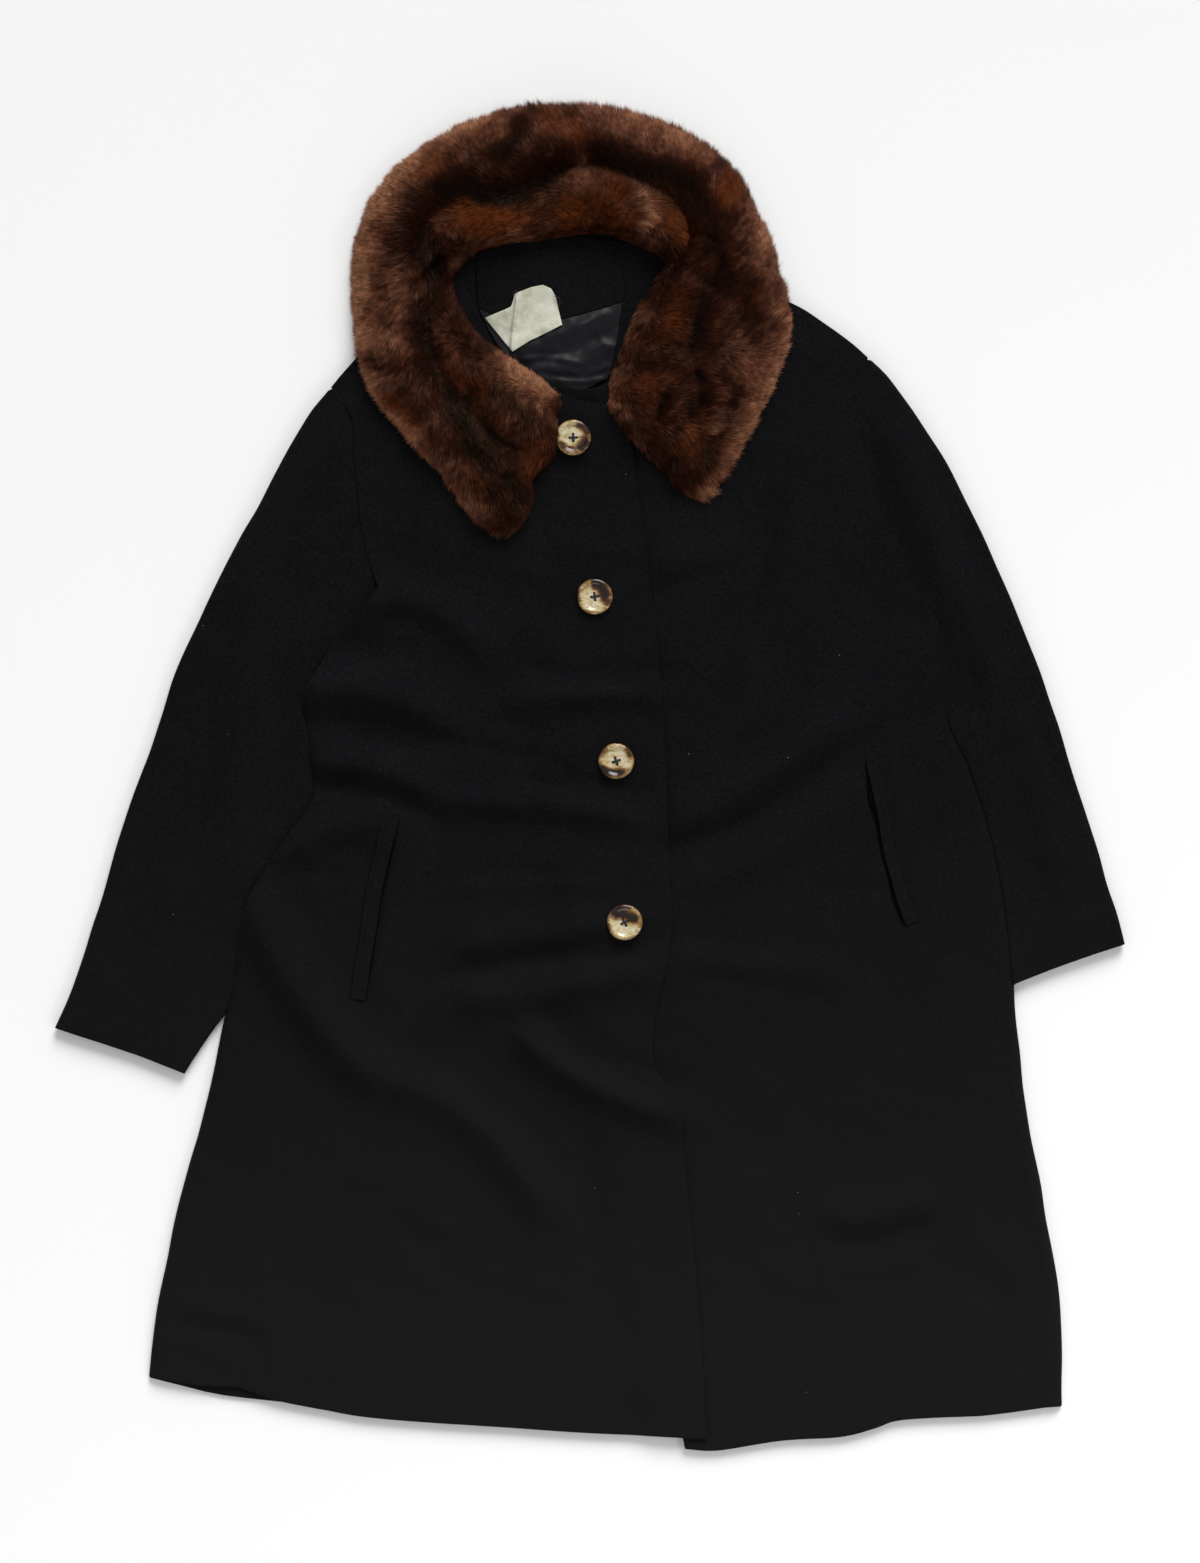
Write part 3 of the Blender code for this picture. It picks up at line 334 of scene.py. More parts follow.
RIGHT_SLEEVE_FOLDS = [
    (8, 20, -226, 284, -282, 112, -300, -110), (-3, 13, -212, 292, -257, 138, -262, 0),
    (3.5, 16, -352, -20, -352, -100, -372, -190), (-1.2, 7, -250, 220, -276, 150, -286, 90),
    (-0.9, 7, -330, 96, -318, 40, -320, -10), (-0.9, 6, -398, -120, -376, -140, -352, -150),
    (0.8, 8, -420, -160, -392, -186, -360, -200), (-0.8, 6, -300, 150, -322, 100, -346, 60),
]
LEFT_SLEEVE_FOLDS = [
    (7, 20, 244, 310, 290, 196, 340, 60), (-3, 12, 236, 286, 252, 212, 288, 140),
    (4.5, 18, 352, 60, 380, -20, 402, -110), (-1.1, 6, 300, 160, 318, 100, 330, 40),
    (-0.9, 6, 366, 60, 384, 20, 398, -20), (-0.9, 6, 350, -60, 380, -80, 410, -84),
    (0.8, 8, 360, -110, 392, -124, 430, -122), (-0.8, 6, 262, 256, 296, 226, 326, 186),
]
LINING_FOLDS = [
    (2.6, 9, -62, 352, -25, 372, 22, 384), (2.2, 8, -50, 338, -12, 346, 24, 366),
    (1.2, 4, -30, 366, -6, 380, 20, 392), (-1, 4, -52, 344, -20, 358, 18, 372),
    (1, 3, -6, 352, 8, 362, 22, 358), (0.9, 3, -22, 340, 0, 338, 16, 344),
    (1.3, 3, -60, 348, -30, 351, 0, 341), (-0.9, 3, -45, 340, -15, 335, 15, 339),
    (1.6, 4, -42, 356, -18, 367, 0, 382), (1, 2.5, -32, 333, -6, 331, 15, 335),
    (0.9, 2.5, -2, 378, 6, 372, 12, 360), (-0.8, 3, -50, 352, -30, 362, -12, 376),
]

# ---- where the label is folded upright
LABEL_CREASE = (3.2, 1.7, -66, 352, -64, 378, -61, 410)
# ---- smoky bands in the horn, from each button's middle: how dark, half width, and where they run
BUTTON_SMOKE = {
    "button_1": [
        (0.45, 4, 2, 12, 9, 8, 13, 2), (0.5, 2.5, -12, -3, -5, -9, 2, -9), (0.7, 4, 4, -10, 8, -6, 13, -2),
    ],
    "button_2": [
        (0.8, 4.5, -4, 11, 5, 8, 9, -3), (0.4, 2, -14, 5, -14.5, 0, -13, -5), (0.3, 3, 6, 0, 10, -4, 12, -8),
    ],
    "button_3": [
        (0.8, 3, -13, -3, -6, -9, 9, -8), (0.4, 2.5, 7, 11, 10, 8, 12, 3), (0.25, 5, -13, 3, -12, 8, -6, 11),
    ],
    "button_4": [
        (0.8, 4, -12, 8, 0, 6, 12, 1), (0.35, 3, -8, 12, 0, 13, 6, 12), (0.3, 2.5, -14, 0, -14, -4, -12, -8),
    ],
}

# ---- pelts: how light each streak is (dark is below zero), its half width, and where it runs
PELT_STREAKS = [
    (-1, 9, -128, 480, -108, 487, -80, 488), (-1, 9, -84, 492, -50, 492, -18, 512),
    (-1, 8, -70, 505, -62, 525, -52, 548), (-0.9, 9, 0, 520, 28, 508, 50, 502),
    (-1, 9, 44, 502, 70, 494, 88, 482), (-0.75, 10, 84, 486, 94, 462, 98, 440),
    (-0.75, 9, 98, 446, 104, 420, 94, 398), (-0.8, 8, 94, 400, 84, 378, 78, 352),
    (-1.2, 5, 83, 340, 86, 335, 89, 330), (-0.8, 6, 92, 318, 84, 306, 72, 300),
    (-0.7, 6, 60, 318, 54, 308, 52, 296), (-0.9, 6, 70, 276, 66, 266, 60, 258),
    (-0.6, 7, 132, 416, 128, 380, 120, 350), (-0.6, 6, 118, 346, 116, 326, 108, 306),
    (-0.6, 5, 104, 290, 98, 280, 90, 272), (-0.9, 9, -140, 470, -136, 440, -128, 410),
    (-1, 8, -130, 404, -134, 376, -128, 346), (-0.9, 8, -126, 350, -118, 320, -108, 296),
    (-0.8, 7, -108, 296, -98, 272, -84, 250), (-1, 8, -70, 262, -66, 244, -60, 226),
    (-0.6, 15, -106, 328, -92, 298, -78, 262), (-0.4, 10, 96, 276, 88, 264, 78, 252),
    (-0.4, 12, -52, 556, -30, 552, 0, 550), (-0.4, 10, 100, 512, 116, 496, 126, 474),
    (-0.8, 6, -84, 244, -76, 226, -66, 212), (-0.5, 3, -182, 400, -180, 370, -172, 336),
    (-0.4, 3, -168, 330, -156, 300, -138, 270), (-0.6, 7, -112, 424, -104, 404, -96, 384),
    (-0.5, 6, 60, 446, 68, 436, 66, 420), (1, 15, -184, 350, -188, 400, -182, 450),
    (1, 15, -182, 460, -164, 498, -134, 524), (0.8, 12, -134, 528, -108, 542, -84, 548),
    (0.5, 9, -154, 430, -158, 390, -158, 360), (0.9, 12, -184, 340, -168, 300, -144, 272),
    (0.8, 10, -144, 268, -118, 240, -98, 218), (0.5, 12, 20, 548, 54, 536, 88, 518),
    (0.2, 10, -40, 552, -10, 556, 20, 552), (0.6, 9, -14, 506, -4, 496, 0, 478),
    (1.1, 8, 36, 486, 42, 474, 48, 462), (0.6, 6, -80, 452, -60, 452, -36, 450),
    (1.6, 9, -62, 338, -42, 326, -28, 310), (-0.8, 5, -86, 298, -72, 284, -52, 276),
    (-0.6, 5, -96, 338, -104, 312, -100, 288), (0.8, 7, -80, 350, -62, 338, -44, 328),
    (0.6, 10, 166, 420, 166, 380, 156, 340), (0.9, 11, 154, 350, 134, 300, 110, 258),
    (0.7, 10, 116, 372, 122, 348, 112, 324), (0.6, 7, 100, 308, 100, 296, 96, 284),
    (0.8, 7, 100, 248, 92, 236, 82, 230), (0.7, 7, 22, 352, 18, 330, 24, 308),
    (0.5, 6, 44, 398, 36, 380, 28, 364), (0.5, 9, 150, 470, 140, 440, 136, 420),
    (0.5, 7, -162, 308, -150, 286, -134, 264), (0.45, 8, 12, 482, 20, 470, 26, 456),
]
# ---- where the fur is rusty: how much, half width, and where it runs
RUSTY = [
    (1, 14, -104, 466, -74, 468, -40, 470), (1, 14, -24, 466, 10, 472, 34, 476),
    (0.9, 9, 56, 470, 70, 462, 74, 446), (0.45, 12, -114, 360, -100, 326, -86, 300),
    (0.35, 12, -108, 300, -96, 272, -84, 246), (0.45, 9, -46, 290, -44, 272, -50, 252),
    (0.4, 10, 70, 410, 62, 384, 56, 356), (0.5, 9, 44, 336, 42, 318, 46, 300),
    (0.5, 9, 84, 296, 76, 282, 66, 284), (0.7, 12, -156, 500, -138, 506, -112, 512),
    (0.6, 10, 108, 500, 118, 486, 112, 462), (0.6, 10, -180, 330, -160, 310, -140, 290),
    (0.6, 12, -40, 540, -20, 536, 0, 540),
]


# ---- curves and patches in plan, for whole lists of points at once


def along_points(fine):
    """A curve along close points, as a function from shares of its length to places."""
    fine = np.asarray(fine, float)
    along = np.concatenate([[0], np.cumsum(np.linalg.norm(np.diff(fine, axis=0), axis=1))])

    def at(t):
        way = np.asarray(t, float) * along[-1]
        return np.stack([np.interp(way, along, fine[:, k]) for k in (0, 1)], axis=-1)

    return at


def through(points, by_length=True):
    """A smooth curve through the points, as a function from shares of its way to places."""
    p = np.array(points, float)
    ends = np.vstack([2 * p[0] - p[1], p, 2 * p[-1] - p[-2]])
    steps = np.linspace(0, 1, 12, endpoint=False)[:, None]
    fine = []
    for a, b, c, d in zip(ends, ends[1:], ends[2:], ends[3:]):
        squared = (2 * a - 5 * b + 4 * c - d) * steps**2
        cubed = (3 * b - a - 3 * c + d) * steps**3
        fine.append((2 * b + (c - a) * steps + squared + cubed) / 2)
    fine = np.vstack(fine + [p[-1:]])
    if by_length:
        return along_points(fine)
    shares = np.linspace(0, 1, len(fine))
    return lambda t: np.stack([np.interp(t, shares, fine[:, k]) for k in (0, 1)], axis=-1)


def stretch(curve, start=0, end=1, sideways=0.0, samples=60):
    """Points along part of a curve, moved to the left of its direction by one distance or by one each."""
    at = curve(np.linspace(start, end, samples))
    way = np.gradient(at, axis=0)
    way /= np.linalg.norm(way, axis=1)[:, None]
    return at + np.reshape(sideways, (-1, 1)) * np.stack([-way[:, 1], way[:, 0]], axis=1)


def chain(*parts):
    """One curve along several lists of points, each starting where the one before it ends."""
    fine = np.vstack([np.asarray(part, float) for part in parts])
    keep = np.concatenate([[True], np.linalg.norm(np.diff(fine, axis=0), axis=1) > 1e-6])
    return along_points(fine[keep])


def joined(first, second, split, restart):
    """A curve that follows the first up to split of the way, and from restart of the way the second."""

    def at(t):
        t = np.asarray(t, float)
        low = first(np.clip(t / split, 0, 1))
        high = second(np.clip((t - restart) / (1 - restart), 0, 1))
        step = np.clip((t - split) / max(restart - split, 1e-9), 0, 1)[..., None]
        return (1 - step) * low + step * high

    return at


def smooth(points):
    """The points of a smooth curve through a table's points."""
    return stretch(through(points))


def straight(start, end):
    """A straight edge between two points."""
    return along_points([start, end])


def patch(bottom, top, left, right):
    """Places in plan for lists of u and v from 0 to 1, spread between four edges."""

    def place(u, v):
        across, up = np.asarray(u, float)[:, None], np.asarray(v, float)[:, None]
        level = (1 - up) * bottom(u) + up * top(u)
        upright = (1 - across) * left(v) + across * right(v)
        low = (1 - across) * bottom(0.0) + across * bottom(1.0)
        high = (1 - across) * top(0.0) + across * top(1.0)
        return level + upright - (1 - up) * low - up * high

    return place


# ---- heights


def ease(x):
    """A smooth step from 0 to 1."""
    x = np.clip(x, 0.0, 1.0)
    return x * x * (3 - 2 * x)


def fold_height(folds, x, y):
    """The height that a table of folds adds at each point."""
    x, y = np.asarray(x, float), np.asarray(y, float)
    total = np.zeros_like(x)
    t = np.linspace(0, 1, 65)[:, None]
    for rise, half_width, *points in folds:
        a, m, b = np.array(points, float).reshape(3, 2)
        line = (1 - t) ** 2 * a + 2 * t * (1 - t) * (2 * m - (a + b) / 2) + t**2 * b
        reach = 3 * half_width
        (x0, y0), (x1, y1) = line.min(0) - reach, line.max(0) + reach
        near = np.flatnonzero((x > x0) & (x < x1) & (y > y0) & (y < y1))
        if not len(near):
            continue
        away = np.hypot(line[:, :1] - x[near], line[:, 1:] - y[near])
        nearest = away.argmin(0)
        share = t[nearest, 0]
        fade = ease(4 * share + 0.3) * ease(4 * (1 - share) + 0.3)
        total[near] += rise * fade * np.exp(-((away.min(0) / half_width) ** 2))
    return total


def waves(x, y, size, seed, shortest, longest, count=7):
    """A gentle unevenness of that size either way, made of a few crossing waves of those lengths."""
    rng = np.random.default_rng(seed)
    total = np.zeros_like(np.asarray(x, float))
    for _ in range(count):
        heading, phase = rng.uniform(0, 2 * math.pi, 2)
        wavelength = rng.uniform(shortest, longest)
        across = np.asarray(x) * math.cos(heading) + np.asarray(y) * math.sin(heading)
        total += np.sin(2 * math.pi * across / wavelength + phase)
    return size * (total / count * 1.6)


HEM_POINTS = chain(smooth(BACK_HEM))(np.linspace(0, 1, 120))
shoulder_line = chain(smooth(RIGHT_SHOULDER), smooth(BACK_NECK), smooth(LEFT_SHOULDER[::-1]))
SHOULDER_POINTS = shoulder_line(np.linspace(0, 1, 120))
LEFT_EDGE_POINTS = smooth(LEFT_FRONT_EDGE)
RIGHT_EDGE_POINTS = smooth(RIGHT_FRONT_EDGE)


def front_lift(x, y):
    """How much the folds and creases lift or lower the fronts."""
    main = np.maximum(DEEPEST_TROUGH, FOLDS_RISE * fold_height(FRONT_FOLDS, x, y))
    fine = CREASES_RISE * fold_height(FRONT_CREASES, x, y) + waves(x, y, *FRONT_WAVES)
    return np.maximum(DEEPEST_TROUGH, main + fine)


def front_under(x, y, lifted):
    """The height of a front's underside. It lies on the back at the hem and at the shoulder."""
    from_hem = y - np.interp(x, HEM_POINTS[:, 0], HEM_POINTS[:, 1])
    from_shoulder = np.interp(x, SHOULDER_POINTS[:, 0], SHOULDER_POINTS[:, 1]) - y
    near_neck = ease(1.6 - np.abs(x - NECK_MIDDLE) / NECK_HALF)
    from_top = np.maximum(near_neck, ease(from_shoulder / FLAT_AT_EDGE))
    settled = np.minimum(ease(from_hem / FLAT_AT_EDGE), from_top)
    return WOOL + SEAM + settled * (AIR - SEAM + lifted)


def left_under(x, y, u, v):
    """The left front's underside. Its hidden part, under the right front, follows only the troughs."""
    hidden = np.interp(y, RIGHT_EDGE_POINTS[:, 1], RIGHT_EDGE_POINTS[:, 0]) - x
    lifted = front_lift(x, y)
    lifted = np.where(lifted > 0, lifted * ease(1 - hidden / OVERLAP_FADE), lifted)
    return front_under(x, y, lifted)


def highest_under(tree, x, y, reach, spokes=8):
    """The highest point of a surface within reach of each point, or 0."""
    best = np.zeros(len(x))
    spots = [(0.0, 0.0)]
    for k in range(spokes):
        angle = 2 * math.pi * k / spokes
        spots += [(r * math.cos(angle), r * math.sin(angle)) for r in (reach / 2, reach)]
    down = Vector((0, 0, -1))
    for k in range(len(x)):
        for dx, dy in spots:
            hit = tree.ray_cast(Vector(((x[k] + dx) * MM, (y[k] + dy) * MM, 1)), down)[0]
            if hit and hit.z > best[k] * MM:
                best[k] = hit.z / MM
    return best


def right_under(left_front):
    """The right front's underside, which lies on the left front where the two overlap."""

    def under(x, y, u, v):
        past_edge = x - np.interp(y, LEFT_EDGE_POINTS[:, 1], LEFT_EDGE_POINTS[:, 0])
        climb = (WOOL + SEAM) * ease(1.5 + past_edge / OVERLAP_RISE)
        low = front_under(x, y, front_lift(x, y)) + climb
        near = np.flatnonzero(past_edge > -OVERLAP_RISE)
        below = highest_under(left_front, x[near], y[near], reach=7)
        low[near] = np.maximum(low[near], below + SEAM)
        return low

    return under


def tree_of(*objs):
    """The surfaces of several finished objects as one, for laying a piece on them."""
    points, faces = [], []
    for obj in objs:
        start = len(points)
        points += [v.co.copy() for v in obj.data.vertices]
        faces += [[start + k for k in p.vertices] for p in obj.data.polygons]
    return BVHTree.FromPolygons(points, faces)


# ---- modelling


def deselect():
    """Leaves edit mode and selects nothing."""
    if bpy.context.object and bpy.context.object.mode != "OBJECT":
        bpy.ops.object.mode_set(mode="OBJECT")
    bpy.ops.object.select_all(action="DESELECT")


def only(obj):
    """Selects one object and makes it active."""
    deselect()
    obj.select_set(True)
    bpy.context.view_layer.objects.active = obj
    return obj


def named(name):
    """Gives the new primitive its name."""
    obj = bpy.context.object
    obj.name = obj.data.name = name
    return obj


def edit_whole(*steps):
    """Each of these operators on the active object's whole mesh, in edit mode."""
    bpy.ops.object.mode_set(mode="EDIT")
    for step in steps:
        bpy.ops.mesh.select_all(action="SELECT")
        step()
    bpy.ops.object.mode_set(mode="OBJECT")


face_outwards = partial(bpy.ops.mesh.normals_make_consistent, inside=False)


def smoothed(obj):
    """The object, shaded smooth."""
    only(obj)
    bpy.ops.object.shade_smooth()
    return obj


def rounded_rims(obj, width):
    """Rounds a mesh's sharp edges by a width in millimetres."""
    sharp = {"limit_method": "ANGLE", "angle_limit": math.radians(60)}
    apply_modifier(obj, "BEVEL", width=width * MM, segments=2, **sharp)


def apply_modifier(obj, kind, **settings):
    """Adds a modifier with those settings and applies it."""
    only(obj)
    bpy.ops.object.modifier_add(type=kind)
    modifier = obj.modifiers[-1]
    for key, value in settings.items():
        setattr(modifier, key, value)
    bpy.ops.object.modifier_apply(modifier=modifier.name)


def points_of(obj):
    """The mesh's points, in metres."""
    flat = np.empty(len(obj.data.vertices) * 3)
    obj.data.vertices.foreach_get("co", flat)
    return flat.reshape(-1, 3)


def put_points(obj, points):
    """Moves the mesh's points, given in metres."""
    obj.data.vertices.foreach_set("co", np.ascontiguousarray(points).ravel())
    obj.data.update()


def store(obj, name, values):
    """Keeps a number for each of the mesh's points."""
    made = obj.data.attributes.new(name, "FLOAT", "POINT")
    made.data.foreach_set("value", np.asarray(values, np.float32))


def store_colours(mesh, colours):
    """Keeps a linear colour for each of the mesh's points, where the fur's material looks for it."""
    made = mesh.color_attributes.new("hair_colour", "FLOAT_COLOR", "POINT")
    made.data.foreach_set("color", np.asarray(colours, np.float32).ravel())


def grid(name, us, vs):
    """A new grid primitive, with each point's u and v from those lists."""
    deselect()
    bpy.ops.mesh.primitive_grid_add(x_subdivisions=len(us) - 1, y_subdivisions=len(vs) - 1, size=1)
    obj = named(name)
    flat = points_of(obj)
    columns = np.rint((flat[:, 0] + 0.5) * (len(us) - 1)).astype(int)
    rows = np.rint((flat[:, 1] + 0.5) * (len(vs) - 1)).astype(int)
    return obj, np.asarray(us, float)[columns], np.asarray(vs, float)[rows]


def uneven(xy):
    """The places moved a little, the same way in every piece, so that no edge runs quite true."""
    x, y = xy[:, 0], xy[:, 1]
    return xy + np.column_stack([waves(x, y, *table) for table in EDGE_WAVES])


def raised(obj, rise):
    """Extrudes a sheet upwards into a closed piece, by its own millimetres at each point."""
    store(obj, "rise", rise)
    up = {"value": (0, 0, 1)}
    edit_whole(partial(bpy.ops.mesh.extrude_region_move, TRANSFORM_OT_translate=up), face_outwards)
    points = points_of(obj)
    rises = np.empty(len(points), np.float32)
    obj.data.attributes["rise"].data.foreach_get("value", rises)
    upper = points[:, 2] > 0.5
    points[upper, 2] += rises[upper] * MM - 1
    put_points(obj, points)
    obj.data.attributes.remove(obj.data.attributes["rise"])


def laid_cloth(name, place, us, vs, under, thick, rim=1.0):
    """A piece of cloth over a patch: a grid at its underside, raised by its thickness, its rim rounded."""
    obj, u, v = grid(name, us, vs)
    xy = place(u, v)
    low = under(xy[:, 0], xy[:, 1], u, v)
    put_points(obj, np.column_stack([uneven(xy), low]) * MM)
    raised(obj, thick(xy[:, 0], xy[:, 1], u, v) if callable(thick) else np.full(len(u), thick))
    if rim:
        rounded_rims(obj, rim)
    return smoothed(obj)


def join(target, others):
    """Joins other objects into target."""
    only(target)
    for obj in others:
        obj.select_set(True)
    bpy.ops.object.join()
    return target


def in_steps(count):
    """Shares from 0 to 1 in so many steps."""
    return np.linspace(0, 1, count + 1)


def flat_at(height):
    """The same height all over a patch."""
    return lambda x, y, u, v: np.full(len(x), float(height))


def finish_piece(obj, finish, slot, *nodes):
    """Gives a piece its material and its body, and hides the solids that it stands for. The slot is not used.
    """
    obj.data.materials.clear()
    obj.data.materials.append(finish)
    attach(obj, BODY)
    if nodes:
        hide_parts(*nodes)


# ---- materials


def linear(colour):
    """An sRGB hex colour, such as "#1A1A1C", as linear RGBA."""
    parts = [int(colour[k:k + 2], 16) / 255 for k in (1, 3, 5)]
    return (*(c / 12.92 if c <= 0.04045 else ((c + 0.055) / 1.055) ** 2.4 for c in parts), 1.0)


def set_inputs(tree, node, inputs):
    """Gives each of a node's inputs a value, or links it to a socket."""
    for key, value in inputs.items():
        if isinstance(value, bpy.types.NodeSocket):
            tree.links.new(value, node.inputs[key])
        else:
            node.inputs[key].default_value = value


def add_node(tree, kind, inputs=None, stops=(), **settings):
    """Adds a node with its settings, inputs and any (position, sRGB hex) stops, and returns its outputs."""
    made = tree.nodes.new(kind)
    for key, value in settings.items():
        setattr(made, key, value)
    set_inputs(tree, made, inputs or {})
    if stops:
        elements = made.color_ramp.elements
        while len(elements) < len(stops):
            elements.new(0.5)
        for element, (position, colour) in zip(elements, stops):
            element.position, element.color = position, linear(colour)
    return made.outputs


def blank_material(name):
    """A new material, and the function that adds nodes to its tree."""
    made = bpy.data.materials.new(name)
    made.use_nodes = True
    return made, partial(add_node, made.node_tree)


def shaded(made, inputs):
    """The material, with those inputs on its shader."""
    set_inputs(made.node_tree, made.node_tree.nodes["Principled BSDF"], inputs)
    return made


@cache
def wool_melton(name="black_wool_melton", nap=1.0):
    """Fulled woollen coating, brushed and cropped: a dull nap that hides the weave and catches pale lint."""
    made, add = blank_material(name)
    place = add("ShaderNodeTexCoord")["Object"]
    # Felted clumps of fibre about 2.5 mm wide, and single fibres of about 0.7 mm, drawn coarse to show.
    clumps = add("ShaderNodeTexNoise", {"Vector": place, "Scale": 400.0, "Detail": 4.0, "Roughness": 0.7})
    fibres = add("ShaderNodeTexNoise", {"Vector": place, "Scale": 1500.0, "Detail": 3.0})
    # Patches some 60 mm across where the nap lies another way.
    patches = add("ShaderNodeTexNoise", {"Vector": place, "Scale": 16.0, "Detail": 3.0, "Distortion": 0.4})
    tones = add("ShaderNodeValToRGB", {"Fac": clumps["Fac"]}, [
        (0.30, "#0A0A0C"), (0.52, "#101012"), (0.72, "#18181B"),
    ])
    worn = add("ShaderNodeValToRGB", {"Fac": patches["Fac"]}, [(0.35, "#ECECEE"), (0.65, "#FFFFFF")])
    mixed = add("ShaderNodeMix", {0: 1.0, 6: tones[0], 7: worn[0]}, data_type="RGBA", blend_type="MULTIPLY")
    # Painted light: the cloth is painted a little paler towards the hem, where more light falls on it.
    along = add("ShaderNodeSeparateXYZ", {"Vector": place})["Y"]
    low = add("ShaderNodeMapRange", {"Value": along, "From Min": 0.0, "From Max": -0.5})
    painted_hem_light = add("ShaderNodeMix", {0: low[0], 6: mixed[2], 7: linear("#171718")}, data_type="RGBA")
    # Lint: a pale fibre in a few of the cells, each cell 10 to 17 mm wide.
    bent = add("ShaderNodeMapping", {
        "Vector": place, "Scale": (70.0, 95.0, 60.0), "Rotation": (0.2, 0.1, 0.6),
    })
    cells = add("ShaderNodeTexVoronoi", {"Vector": bent[0], "Scale": 1.0, "Randomness": 1.0})
    chosen = add("ShaderNodeSeparateColor", {"Color": cells["Color"]})
    few = add("ShaderNodeMath", {0: chosen[0], 1: 0.95}, operation="GREATER_THAN")
    dot = add("ShaderNodeMath", {0: cells["Distance"], 1: 0.045}, operation="LESS_THAN")
    lint = add("ShaderNodeMath", {0: few[0], 1: dot[0]}, operation="MULTIPLY")
    linted = add("ShaderNodeMix", {0: lint[0], 6: painted_hem_light[2], 7: linear("#55534F")}, data_type="RGBA")
    depth = add("ShaderNodeMath", {0: clumps["Fac"], 1: fibres["Fac"]}, operation="ADD")
    bump = add("ShaderNodeBump", {"Height": depth[0], "Strength": 0.55 * nap, "Distance": 0.0006})
    return shaded(made, {
        "Base Color": linted[2], "Roughness": 0.92, "Normal": bump[0], "Specular IOR Level": 0.05,
        "Sheen Weight": 0.03, "Sheen Roughness": 0.45, "Sheen Tint": linear("#9A9AA4"),
    })


def facing_wool():
    """The coat's own wool inside the neck, less worn and so less brushed up."""
    return wool_melton("black_wool_facing", 0.6)


@cache
def satin_lining():
    """Woven viscose satin: long floats that give a soft sheen along the folds, blue-black."""
    made, add = blank_material("blue_black_satin_lining")
    place = add("ShaderNodeTexCoord")["Object"]
    # The floats run across: about 0.4 mm apart, drawn at 0.8 mm so that they show.
    turned = add("ShaderNodeMapping", {
        "Vector": place, "Scale": (180.0, 1250.0, 600.0), "Rotation": (0, 0, 0.35),
    })
    floats = add("ShaderNodeTexNoise", {"Vector": turned[0], "Scale": 1.0, "Detail": 2.0})
    tones = add("ShaderNodeValToRGB", {"Fac": floats["Fac"]}, [(0.3, "#0B0A0E"), (0.7, "#121117")])
    bump = add("ShaderNodeBump", {"Height": floats["Fac"], "Strength": 0.15, "Distance": 0.0002})
    return shaded(made, {
        "Base Color": tones[0], "Roughness": 0.48, "Specular IOR Level": 0.2, "Normal": bump[0],
        "Sheen Weight": 0.12, "Sheen Roughness": 0.35, "Sheen Tint": linear("#4A4A86"),
    })


@cache
def pocket_mouth_painted_shade():
    """The pocket bag's black cotton, painted darker than the wool: partly its own colour, partly painted
    shade in the mouth.
    """
    made = blank_material("pocket_cotton_painted_shade")[0]
    return shaded(made, {"Base Color": linear("#060607"), "Roughness": 0.95, "Specular IOR Level": 0.02})


@cache
def cotton_label():
    """Unbleached twill tape, a little soiled: fine slanting ribs and a matt, creamy white."""
    made, add = blank_material("cream_twill_label")
    place = add("ShaderNodeTexCoord")["Object"]
    # Twill ribs 0.9 mm apart.
    ribs = add(
        "ShaderNodeTexWave", {"Vector": place, "Scale": 350.0, "Distortion": 0.6, "Detail": 1.0},
        bands_direction="DIAGONAL",
    )
    soil = add("ShaderNodeTexNoise", {"Vector": place, "Scale": 55.0, "Detail": 4.0, "Roughness": 0.65})
    tones = add("ShaderNodeValToRGB", {"Fac": soil["Fac"]}, [
        (0.28, "#A5A08A"), (0.5, "#D2D1BF"), (0.7, "#E4E4D8"),
    ])
    ribbed = add("ShaderNodeValToRGB", {"Fac": ribs["Fac"]}, [(0.0, "#DCDCD6"), (1.0, "#FFFFFF")])
    mixed = add("ShaderNodeMix", {0: 1.0, 6: tones[0], 7: ribbed[0]}, data_type="RGBA", blend_type="MULTIPLY")
    bump = add("ShaderNodeBump", {"Height": ribs["Fac"], "Strength": 0.3, "Distance": 0.0002})
    return shaded(made, {"Base Color": mixed[2], "Roughness": 0.85, "Normal": bump[0]})


@cache
def horn():
    """Polished horn: cream, with smoky brown streaks where each button's own table puts them, and glassy."""
    made, add = blank_material("polished_horn")
    smoke = add("ShaderNodeAttribute", attribute_name="smoke")["Fac"]
    place = add("ShaderNodeTexCoord")["Object"]
    # The smoke feathers out along the horn's fibres, 3 to 6 mm wide.
    fibres = add("ShaderNodeMapping", {
        "Vector": place, "Scale": (160.0, 330.0, 200.0), "Rotation": (0, 0, 0.6),
    })
    feather = add("ShaderNodeTexNoise", {"Vector": fibres[0], "Scale": 1.0, "Detail": 4.0, "Distortion": 0.8})
    spread = add("ShaderNodeMath", {0: feather["Fac"], 1: 0.7}, operation="MULTIPLY")
    depth = add("ShaderNodeMath", {0: smoke, 1: spread[0]}, operation="ADD")
    tones = add("ShaderNodeValToRGB", {"Fac": depth[0]}, [
        (0.28, "#CFC7AC"), (0.42, "#BBA97E"), (0.56, "#8F6C3C"), (0.76, "#4A2D16"), (1.0, "#1A0D07"),
    ])
    return shaded(made, {
        "Base Color": tones[0], "Roughness": 0.14, "Coat Weight": 0.3, "Coat Roughness": 0.03,
        "Specular IOR Level": 0.35,
    })


